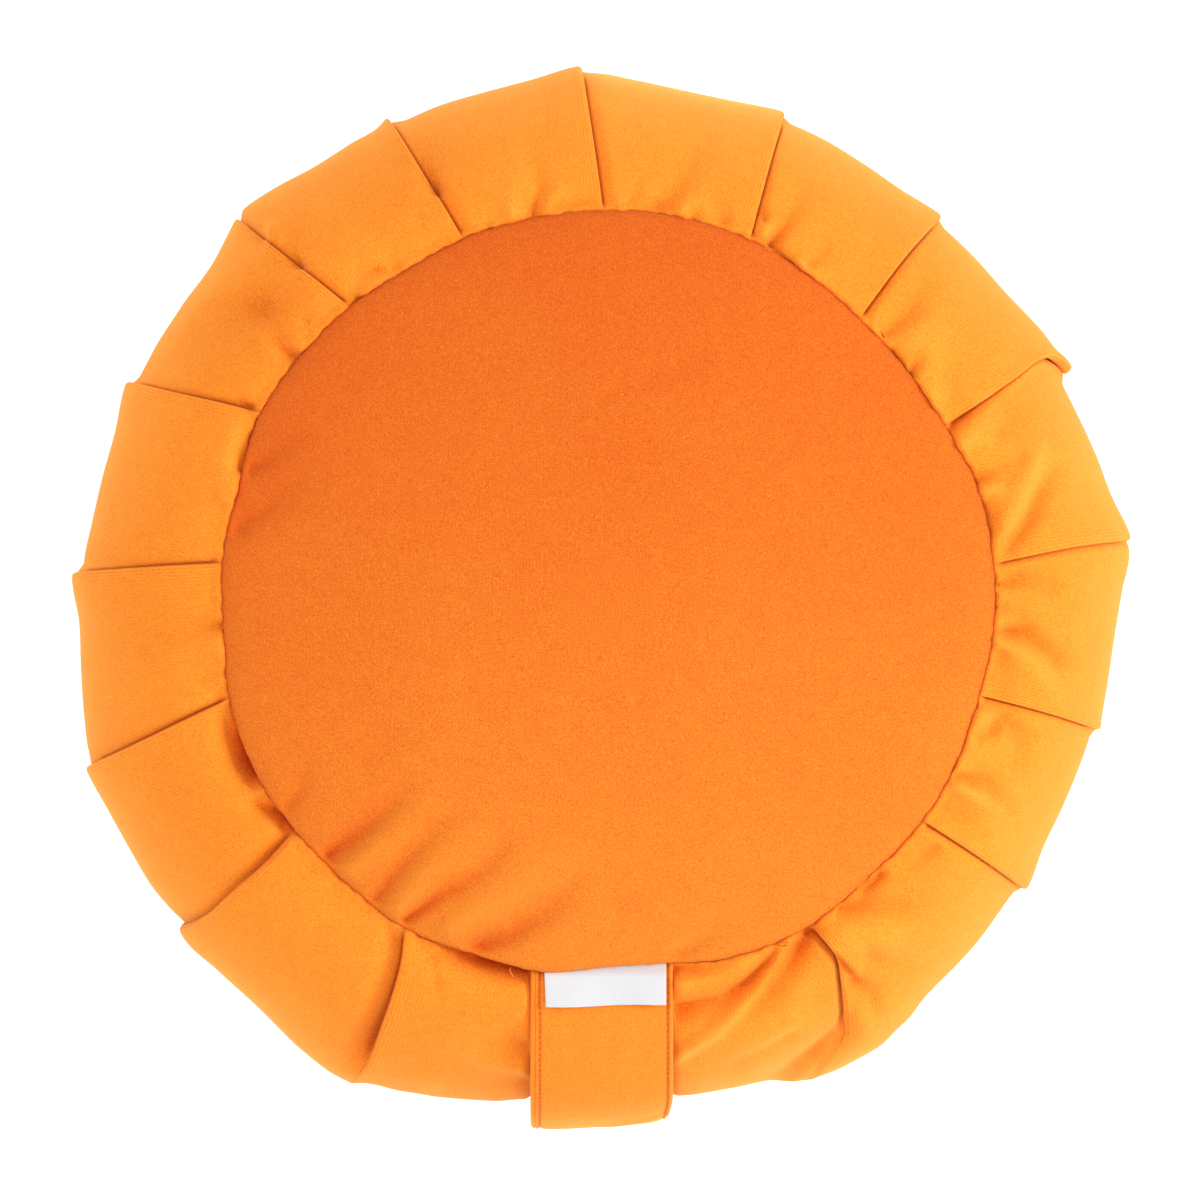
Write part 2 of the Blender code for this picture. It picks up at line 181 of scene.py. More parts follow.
def make_mesh_object(
    name: str,
    points: np.ndarray,
    faces: tuple[np.ndarray, ...],
    material: bpy.types.Material,
    cloth_map: np.ndarray | None = None,
    marks: dict[str, np.ndarray] | None = None,
) -> bpy.types.Object:
    """A smooth-shaded object from arrays of points and faces.

    Args:
        name: the object's name.
        points: one row of x, y, z for each point.
        faces: the quads, and the triangles where there are any: a row of corners for each face.
        material: its finish.
        cloth_map: metres across and along the cloth at each face corner, in the faces' order.
        marks: a number at each point, by the name that a finish reads it under.

    Returns:
        The object, at the origin.
    """
    corners = np.concatenate([block.ravel() for block in faces])
    sizes = np.concatenate([np.full(len(block), block.shape[1]) for block in faces])
    starts = np.cumsum(sizes) - sizes
    mesh = bpy.data.meshes.new(name)
    mesh.vertices.add(len(points))
    mesh.vertices.foreach_set("co", points.astype(np.float32).ravel())
    mesh.loops.add(len(corners))
    mesh.loops.foreach_set("vertex_index", corners.astype(np.int32))
    mesh.polygons.add(len(starts))
    mesh.polygons.foreach_set("loop_start", starts.astype(np.int32))
    if cloth_map is not None:
        layer = mesh.uv_layers.new(name="cloth")
        layer.data.foreach_set("uv", cloth_map.astype(np.float32).ravel())
    for mark, numbers in (marks or {}).items():
        data = mesh.attributes.new(mark, "FLOAT", "POINT").data
        data.foreach_set("value", numbers.astype(np.float32).ravel())
    mesh.update(calc_edges=True)
    mesh.validate()
    mesh.shade_smooth()
    mesh.materials.append(material)
    return add_object(name, mesh)


def hand_in(obj: bpy.types.Object, slot: Slot, node: str | None = None) -> None:
    """Fixes a piece to the cushion, hides the solid that it stands for, and logs its name, faces and slot.

    Args:
        obj: the piece.
        slot: the record's slot that it takes its finish from.
        node: the solid that it replaces, if it replaces one.
    """
    if node is not None:
        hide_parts(node)
    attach(obj, "root")
    log.info("%s: %d faces, %s", obj.name, len(obj.data.polygons), slot.value)


# ---------------------------------------------------------------- finishes


class Nodes:
    """A material's nodes, added with short calls."""

    def __init__(self, name: str) -> None:
        """Starts a material with a Principled shader and its output."""
        self.material = bpy.data.materials.new(name)
        self.material.use_nodes = True
        self.tree = self.material.node_tree
        self.shader = self.tree.nodes["Principled BSDF"]

    def add(self, kind: str, settings: dict | None = None, **inputs: object) -> bpy.types.Node:
        """Adds a node.

        Args:
            kind: its type, such as ShaderNodeMath.
            settings: its properties.
            inputs: a value or a socket for each input, with _ for a space.

        Returns:
            The node.
        """
        node = self.tree.nodes.new(kind)
        for key, value in (settings or {}).items():
            setattr(node, key, value)
        self.feed_all(node, **inputs)
        return node

    def feed_all(self, node: bpy.types.Node, **inputs: object) -> None:
        """Gives a node's inputs, with _ for a space, a value or a socket each."""
        for key, value in inputs.items():
            self.feed(node.inputs[key.replace("_", " ")], value)

    def feed(self, socket: bpy.types.NodeSocket, value: object) -> None:
        """Sets a socket, or links it where the value is another socket."""
        if isinstance(value, bpy.types.NodeSocket):
            self.tree.links.new(value, socket)
        else:
            socket.default_value = value

    def math(self, operation: str, *values: object) -> bpy.types.NodeSocket:
        """The result of a Math node on one to three values or sockets."""
        node = self.tree.nodes.new("ShaderNodeMath")
        node.operation = operation
        for socket, value in zip(node.inputs, values):
            self.feed(socket, value)
        return node.outputs[0]

    def place(self) -> tuple[bpy.types.NodeSocket, dict[str, bpy.types.NodeSocket]]:
        """The Object coordinates in metres, whole and as X, Y and Z."""
        place = self.add("ShaderNodeTexCoord").outputs["Object"]
        return place, self.add("ShaderNodeSeparateXYZ", Vector=place).outputs

    def mark(self, name: str) -> bpy.types.NodeSocket:
        """A number that the mesh holds at each point."""
        return self.add("ShaderNodeAttribute", {"attribute_name": name}).outputs["Fac"]

    def noise(self, vector: bpy.types.NodeSocket, size: float, detail: float = 2.0) -> bpy.types.NodeSocket:
        """Soft noise from -1 to 1 about 0, size being about how far apart its blobs are."""
        node = self.add("ShaderNodeTexNoise", Vector=vector, Scale=1 / size, Detail=detail)
        return self.math("MULTIPLY_ADD", node.outputs["Fac"], 2.0, -1.0)

    def wave(self, along: bpy.types.NodeSocket, pitch: float) -> bpy.types.NodeSocket:
        """A sine from -1 to 1 of a distance, one wave for each pitch."""
        return self.math("SINE", self.math("MULTIPLY", along, 2 * math.pi / pitch))

    def total(self, *parts: tuple[bpy.types.NodeSocket, float]) -> bpy.types.NodeSocket:
        """The sum of sockets, each times its own weight."""
        result: object = 0.0
        for socket, weight in parts:
            result = self.math("MULTIPLY_ADD", socket, weight, result)
        return result

    def run(self, share: bpy.types.NodeSocket, *stops: tuple[float, tuple]) -> bpy.types.NodeSocket:
        """The colour at a share of the way through stops, each a share and a colour, in rising order."""
        node = self.add("ShaderNodeValToRGB", Fac=share)
        elements = node.color_ramp.elements
        for element, (at, colour) in ((elements[0], stops[0]), (elements[1], stops[-1])):
            element.position, element.color = at, (*colour, 1)
        for at, colour in stops[1:-1]:
            elements.new(at).color = (*colour, 1)
        return node.outputs["Color"]

    def finish(self, colour: object, height: object, **inputs: object) -> bpy.types.Material:
        """Feeds the shader a colour, a bump by a height in metres and its other inputs.

        Args:
            colour: the base colour's socket.
            height: the relief's socket.
            inputs: the shader's other inputs, with _ for a space.

        Returns:
            The material.
        """
        bump = self.add("ShaderNodeBump", Strength=1.0, Distance=1.0, Height=height)
        self.feed_all(self.shader, Base_Color=colour, Normal=bump.outputs["Normal"], **inputs)
        return self.material


def shades(colour: tuple[float, ...], *shares: float) -> list[tuple[float, ...]]:
    """A colour times each share, no part over 1."""
    return [tuple(min(share * part, 1.0) for part in colour) for share in shares]


@dataclass(frozen=True)
class Velvet:
    """Short-pile velvet: a soft colour that shifts with the nap and with painted light and shade, a fine
    grain, a sheen and a pile bump.

    The colour runs from the painted shade of hollows through deep and plain to light. Its place on that run is
    the sum of a lean across the piece, which is painted light from one side together with the nap's own lean,
    broad
    brushed patches, a mottle of a few millimetres, the speckle and grain of the pile, and a mark on the mesh:
    painted shade, minus, in creases, pockets, laps and stitch grooves and along the seams, where the stitching
    also crushes the pile, and painted highlight, plus, on ridges and over the strap's bend. The mark "pressed"
    is 1 along a folded edge, where the ribs of the ground cloth show through.
    """

    slot: Slot
    # the painted shade of the deepest hollows: pockets, laps and crease bottoms
    hollow_shade: tuple[float, float, float]
    deep: tuple[float, float, float]
    plain: tuple[float, float, float]
    light: tuple[float, float, float]
    lean: tuple[float, float] = (0.0, 0.0)  # painted light from one side, with the nap's lean: how much lighter it is for each metre along X and Y
    patches: float = 0.15
    patch_size: float = 70 * MM
    mottle: float = 0.10
    mottle_size: float = 5 * MM
    speckle: float = 0.14
    speckle_size: float = 1.0 * MM
    grain: float = 0.66
    grain_size: float = 0.45 * MM
    pile_height: float = 0.07 * MM
    ribs: float = 0.10
    rib_pitch: float = 1.1 * MM
    rib_height: float = 0.03 * MM
    roughness: float = 0.86
    gloss: float = 0.12
    sheen: float = 0.56
    sheen_roughness: float = 0.45
    sheen_tint: tuple[float, float, float] = (1.0, 0.69, 0.18)
    run: tuple[float, float, float, float] = (0.0, 0.35, 0.6, 0.85)  # where the four colours lie on it

    def make(self) -> bpy.types.Material:
        """Builds the material from Object coordinates, the marks and, for the ribs, the cloth map."""
        nodes = Nodes(self.slot.value + "_pile")
        place, xyz = nodes.place()
        patches, mottle = (nodes.noise(place, size) for size in (self.patch_size, self.mottle_size))
        speckle, grain = (nodes.noise(place, size, 1.0) for size in (self.speckle_size, self.grain_size))
        ribs = self.warp_ribs(nodes)
        shade = nodes.total(
            (xyz["X"], self.lean[0]),
            (xyz["Y"], self.lean[1]),
            (patches, self.patches),
            (mottle, self.mottle),
            (speckle, self.speckle),
            (grain, self.grain),
            (ribs, self.ribs),
            (nodes.mark("painted_shading"), 1.0),
        )
        colours = (self.hollow_shade, self.deep, self.plain, self.light)
        pile = self.pile_height
        return nodes.finish(
            nodes.run(nodes.math("MULTIPLY_ADD", shade, 0.5, self.run[2]), *zip(self.run, colours)),
            nodes.total((grain, 0.6 * pile), (speckle, pile), (mottle, 0.4 * pile), (ribs, self.rib_height)),
            Roughness=nodes.math("ADD", nodes.total((mottle, 0.06), (speckle, 0.04)), self.roughness),
            Specular_IOR_Level=self.gloss,
            Sheen_Weight=self.sheen,
            Sheen_Roughness=self.sheen_roughness,
            Sheen_Tint=(*self.sheen_tint, 1),
        )

    def warp_ribs(self, nodes: Nodes) -> bpy.types.NodeSocket:
        """Ribs along the warp: waves across the cloth, in faint streaks, plain at a folded edge."""
        across = nodes.add("ShaderNodeUVMap", {"uv_map": "cloth"}).outputs["UV"]
        parts = nodes.add("ShaderNodeSeparateXYZ", Vector=across).outputs
        streaks = nodes.math("MAXIMUM", nodes.math("ADD", nodes.noise(across, 1 / 60), 0.3), 0.0)
        shown = nodes.math("ADD", streaks, nodes.mark("pressed"))
        return nodes.math("MULTIPLY", nodes.wave(parts["X"], self.rib_pitch), shown)


@dataclass(frozen=True)
class Thread:
    """Sewing thread of the cloth's colour: a little glossier, with a fine twist."""

    slot: Slot = Slot.STRAP
    colour: tuple[float, float, float] = (0.92, 0.25, 0.02)
    twist: float = 0.5 * MM
    twist_height: float = 0.02 * MM

    def make(self) -> bpy.types.Material:
        """Builds the material on Object coordinates: the twist is a slanting wave in colour and bump."""
        nodes = Nodes(self.slot.value + "_thread")
        _, xyz = nodes.place()
        wave = nodes.wave(nodes.total((xyz["X"], 1.4), (xyz["Y"], 1.0), (xyz["Z"], 0.8)), self.twist)
        dark, pale = shades(self.colour, 0.75, 1.08)
        colour = nodes.run(nodes.math("MULTIPLY_ADD", wave, 0.4, 0.5), (0.0, dark), (1.0, pale))
        relief = nodes.math("MULTIPLY", wave, self.twist_height)
        return nodes.finish(colour, relief, Roughness=0.5, Sheen_Weight=0.2)


@dataclass(frozen=True)
class Satin:
    """Smooth woven label cloth: white, with a fine rib across it and a soft gloss."""

    slot: Slot = Slot.LABEL
    colour: tuple[float, float, float] = (0.70, 0.695, 0.712)
    rib_pitch: float = 0.45 * MM
    cloud_size: float = 1 / 180

    def make(self) -> bpy.types.Material:
        """Builds the material on Object coordinates."""
        nodes = Nodes(self.slot.value + "_weave")
        place, xyz = nodes.place()
        rib, cross = (nodes.wave(xyz[axis], self.rib_pitch) for axis in "YX")
        cloud = nodes.noise(place, self.cloud_size)
        share = nodes.math("ADD", nodes.total((rib, 0.10), (cross, 0.08), (cloud, 0.25)), 0.5)
        dark, pale = shades(self.colour, 0.93, 1.03)
        return nodes.finish(
            nodes.run(share, (0.0, dark), (1.0, pale)),
            nodes.total((rib, 0.015 * MM), (cross, 0.012 * MM)),
            Roughness=0.55,
            Specular_IOR_Level=0.35,
        )


# ---------------------------------------------------------------- studio


@dataclass(frozen=True)
class Viewpoint:
    """The camera straight above the cushion, its top towards +Y."""

    height: float = 1.963
    aside: tuple[float, float] = (-1.47 * MM, -0.85 * MM)
    lens: float = 169.2
    sensor: float = 36.0

    def set_up(self) -> None:
        """Makes it the scene's camera."""
        camera = bpy.data.cameras.new("viewpoint")
        camera.sensor_fit = "HORIZONTAL"
        camera.sensor_width = self.sensor
        camera.lens = self.lens
        bpy.context.scene.camera = add_object("viewpoint", camera, (*self.aside, self.height))

    def as_seen(self, points: np.ndarray, level: float) -> np.ndarray:
        """Where points appear from above, as x and y at one level."""
        nearer = (self.height - level) / (self.height - points[..., 2:])
        return points[..., :2] * nearer


@dataclass(frozen=True)
class Softbox:
    """A square studio light that faces the cushion."""

    name: str
    azimuth: float
    elevation: float
    distance: float
    side: float
    power: float

    def set_up(self) -> None:
        """Hangs it in place."""
        lamp = bpy.data.lights.new(self.name, "AREA")
        lamp.size = self.side
        lamp.energy = self.power
        around, up = math.radians(self.azimuth), math.radians(self.elevation)
        away = Vector((math.cos(around) * math.cos(up), math.sin(around) * math.cos(up), math.sin(up)))
        obj = add_object(self.name, lamp, away * self.distance)
        obj.rotation_euler = away.to_track_quat("Z", "Y").to_euler()


@dataclass(frozen=True)
class Studio:
    """A pale floor, an even white surround and soft lights."""

    surround: float = 0.65
    floor_side: float = 8.0
    floor_shade: float = 0.5
    floor_glow: float = 0.8
    boxes: tuple[Softbox, ...] = (
        Softbox("key_right", 5, 30, 2.4, 0.9, 35),
        Softbox("fill_front", -75, 40, 2.4, 1.2, 15),
        Softbox("fill_left", 155, 35, 2.4, 1.2, 10),
        Softbox("top", 110, 75, 2.6, 1.2, 9),
    )

    def set_up(self) -> None:
        """Sets the view's tone, the surround, the floor and the lights."""
        scene = bpy.context.scene
        scene.view_settings.view_transform = "Standard"
        world = bpy.data.worlds.new("surround")
        world.use_nodes = True
        background = world.node_tree.nodes["Background"]
        background.inputs["Color"].default_value = (1, 1, 1, 1)
        background.inputs["Strength"].default_value = self.surround
        scene.world = world
        self.lay_floor()
        for box in self.boxes:
            box.set_up()

    def lay_floor(self) -> None:
        """Lays the plain pale floor under the cushion."""
        half = self.floor_side / 2
        corners = [(-half, -half, 0), (half, -half, 0), (half, half, 0), (-half, half, 0)]
        mesh = bpy.data.meshes.new("floor")
        mesh.from_pydata(corners, [], [(0, 1, 2, 3)])
        nodes = Nodes("floor_paper")
        nodes.feed_all(
            nodes.shader,
            Base_Color=(self.floor_shade,) * 3 + (1,),
            Roughness=1.0,
            Specular_IOR_Level=0.0,
            Emission_Color=(1, 1, 1, 1),
            Emission_Strength=self.floor_glow,
        )
        mesh.materials.append(nodes.material)
        obj = add_object("floor", mesh)


# ---------------------------------------------------------------- creases


@dataclass(frozen=True)
class Crease:
    """A soft ridge in the cloth, or a trough where its rise is minus.

    It follows a path of places as seen, starting where it is strongest and narrowest, and its end keeps the
    share left of the rise. Where the places hold a third number, that is the share of the rise there instead.
    """

    rise: float  # millimetres
    half_width: float  # millimetres
    path: tuple[tuple[float, ...], ...]
    left: float = 1.0  # share of the rise at its end
    cliff: int = 0  # 1 or -1: cut off steeply on the left or the right of the path
    cliff_width: float = 0.3  # millimetres

    def height(self, seen: np.ndarray) -> np.ndarray:
        """Its rise at places as seen, in metres.

        The rise falls off by a bell curve of the distance to the path, one with a sharper middle for a
        trough.
        """
        path = np.array([place[:2] for place in self.path]) * MM
        spans = np.linalg.norm(np.diff(path, axis=0), axis=1)
        walked = np.concatenate([[0.0], np.cumsum(spans)]) / spans.sum()
        nearest = np.full(seen.shape[:-1], np.inf)
        along, side = np.zeros(nearest.shape), np.zeros(nearest.shape)
        for k, span in enumerate(spans):
            way = (path[k + 1] - path[k]) / span
            share = np.clip(((seen - path[k]) @ way) / span, 0.0, 1.0)
            off = seen - path[k] - share[..., None] * span * way
            away = np.linalg.norm(off, axis=-1)
            along = np.where(away < nearest, mix(walked[k], walked[k + 1], share), along)
            side = np.where(away < nearest, way[0] * off[..., 1] - way[1] * off[..., 0], side)
            nearest = np.minimum(nearest, away)
        if len(self.path[0]) > 2:
            fade, wide = np.interp(along, walked, [place[2] for place in self.path]), 1.0
        else:
            fade, wide = mix(1.0, self.left, along), mix(0.75, 1.35, along)
        wide = np.where(side * self.cliff > 0, self.cliff_width, wide * self.half_width) * MM
        return self.rise * MM * fade * np.exp(-((nearest / wide) ** (2.0 if self.rise > 0 else 1.5)))


def crease_table(*rows: tuple | Crease) -> tuple[Crease, ...]:
    """Creases from rows of rise, half width, share left and places. A crease that is given whole stays."""
    return tuple(row if isinstance(row, Crease) else Crease(row[0], row[1], row[3:], row[2]) for row in rows)


def relief(creases: tuple[Crease, ...], seen: np.ndarray) -> np.ndarray:
    """Height that creases add to cloth at places as seen, in metres."""
    return sum(crease.height(seen) for crease in creases)


# ---------------------------------------------------------------- the cushion's shared lines


@dataclass(frozen=True)
class Pleat:
    """One knife pleat: a folded edge, and the panel of cloth after it going clockwise.

    Angles are degrees, sizes millimetres. The folded edge runs from seam_deg at the seam to rim_deg at the
    widest line and bows to the left of the straight way by bow, or it follows way. The reaches are how far
    out the cloth stands at the widest line.
    """

    seam_deg: float
    rim_deg: float
    seam: float  # the seam's radius at the folded edge
    seam_mid: float  # and half-way to the next one
    edge: float
    root: float  # just clear of the folded edge
    early: float
    middle: float
    late: float
    lip: float  # just before the next folded edge
    bow: float = 0.3
    fold: float = 1.6  # how deep the cloth lies under the folded edge
    tuck: float = 7.0
    rise: float = 3.4  # over which the cloth comes up from under the edge
    fade: float = 1.0  # share of the way out from which the fold flattens
    dark: float = 1.0  # share of the crevice under its edge
    curl: float = 0.0  # how much thicker the edge is where it curls over near the rim
    way: tuple[tuple[float, float], ...] = ()  # shares of the way out and degrees


PLEATS = (
    Pleat(90.2, 92.4, 126.0, 126.2, 179.2, 176.3, 174.3, 172.5, 172.5, 173.9, bow=0.2, fold=2.0, rise=5.0),
    Pleat(67.9, 69.5, 125.7, 124.4, 174.2, 171.0, 170.7, 169.8, 169.6, 171.1, bow=0.3),
    Pleat(47.6, 48.4, 123.1, 123.2, 171.4, 168.6, 168.9, 169.4, 172.0, 174.6, bow=0.5),
    Pleat(
        26.8, 25.8, 124.2, 126.6, 176.2, 169.8, 170.4, 172.0, 173.9, 177.6, fold=2.0, curl=2.4,
        way=((0.0, 26.8), (0.3, 27.5), (0.6, 28.2), (0.82, 28.6), (0.9, 28.2), (0.96, 27.2), (1.0, 25.9)),
    ),
    Pleat(5.0, 6.2, 127.0, 127.0, 178.2, 177.0, 174.0, 171.8, 171.4, 172.0, bow=0.5, fold=1.4, rise=2.6),
    Pleat(-14.6, -15.0, 125.9, 126.6, 172.5, 169.5, 169.2, 169.1, 169.6, 172.1, bow=0.2, fold=1.4, rise=2.8),
    Pleat(-35.0, -34.8, 126.3, 125.0, 172.6, 169.2, 170.4, 171.8, 176.2, 176.8, bow=0.2),
    Pleat(
        -57.7, -63.0, 125.7, 124.4, 176.4, 175.4, 171.4, 170.0, 169.5, 169.3, fold=3.0, rise=3.4, fade=0.68,
        way=((0.0, -57.9), (0.14, -57.3), (0.28, -57.2), (0.41, -58.2), (0.55, -59.3), (0.72, -60.4),
             (0.8, -61.1), (0.88, -63.0), (0.96, -65.4), (1.0, -67.0)),
    ),
    Pleat(-81.5, -84.0, 120.5, 120.3, 170.0, 168.0, 167.0, 167.0, 168.0, 170.0, fold=1.6, tuck=5.0),
    Pleat(-98.5, -97.0, 123.3, 123.5, 170.0, 170.5, 173.0, 175.5, 179.2, 182.2, fold=1.6, tuck=5.0),
    Pleat(
        -121.2, -117.4, 125.6, 125.2, 184.0, 184.2, 182.8, 180.2, 180.4, 181.8, fold=3.8, rise=10.0, fade=0.74,
        way=((0.0, -121.1), (0.2, -119.1), (0.43, -118.0), (0.64, -117.5), (0.85, -117.1), (1.0, -117.6)),
    ),
    Pleat(
        -142.7, -142.3, 125.9, 127.0, 181.2, 179.1, 180.2, 180.4, 181.4, 183.2, fold=2.6, rise=7.0, dark=0.1,
        way=((0.0, -143.1), (0.3, -142.0), (0.57, -141.7), (0.8, -141.5), (0.93, -141.9), (1.0, -142.3)),
    ),
    Pleat(-165.0, -162.0, 126.2, 124.4, 183.6, 180.7, 179.2, 177.4, 176.7, 178.9, bow=0.4, fold=2.0, rise=4.5),
    Pleat(-185.2, -182.8, 124.9, 124.6, 179.2, 175.2, 174.0, 173.4, 173.7, 176.0, bow=0.2),
    Pleat(-208.3, -204.5, 127.1, 126.3, 176.4, 172.9, 173.0, 172.9, 173.3, 176.8, bow=0.4, fold=2.0),
    Pleat(-228.8, -226.0, 126.0, 124.7, 178.0, 178.2, 176.8, 174.6, 174.8, 176.0, bow=0.3),
    Pleat(-248.5, -245.8, 125.7, 125.7, 177.6, 173.8, 174.4, 174.6, 175.9, 178.6, bow=0.2, fold=2.2, rise=5.5),
)


@dataclass(frozen=True)
class Form:
    """Sizes and lines that the pieces share, in metres."""

    top_ledge: float = 124.5 * MM  # bottom of the crease of the top seam
    base_ledge: float = 6.5 * MM
    cloth: float = 2.0 * MM
    gap: float = 0.3 * MM
    seam_wall: float = 0.06 * MM  # the side's wall stands this far outside the seam line
    seam_wave: float = 0.25 * MM  # how far the seam line wavers between its stitches
    waves: tuple[tuple[int, float], ...] = ((151, 0.4), (113, 1.9), (71, 3.1), (43, 0.8))  # count and start
    strap_x: float = -0.9 * MM  # the strap's middle line

    @property
    def crown(self) -> float:
        """Height of the middle of the top panel."""
        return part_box("top_panel")[1][2]

    @property
    def middle(self) -> float:
        """Height of the widest line."""
        return (self.top_ledge + self.base_ledge) / 2

    @property
    def half(self) -> float:
        """Half of the side's height."""
        return (self.top_ledge - self.base_ledge) / 2

    def seam_radius(self, theta: np.ndarray) -> np.ndarray:
        """The seam's radius at angles in radians: a smooth curve through two radii for each pleat."""
        first = PLEATS[0].seam_deg
        turned = (first - np.degrees(theta)) % 360
        starts = [first - pleat.seam_deg for pleat in PLEATS] + [360.0]
        places, radii = [], []
        for pleat, start, after in zip(PLEATS, starts, starts[1:]):
            places += [start, (start + after) / 2]
            radii += [pleat.seam, pleat.seam_mid]
        places = [places[-1] - 360, *places, 360.0, 360 + places[1]]
        radii = [radii[-1], *radii, radii[0], radii[1]]
        return eased_curve(turned, places, radii) * MM + self.stitch_pull(theta) * self.seam_wave

    def stitch_pull(self, theta: np.ndarray) -> np.ndarray:
        """How hard the top seam's stitches draw at angles in radians, from -1 to 1: waves of 5 to 18 mm."""
        return sum(np.sin(theta * count + start) for count, start in self.waves) / len(self.waves)


FORM = Form()
VIEW = Viewpoint()


# ---------------------------------------------------------------- the pleated side

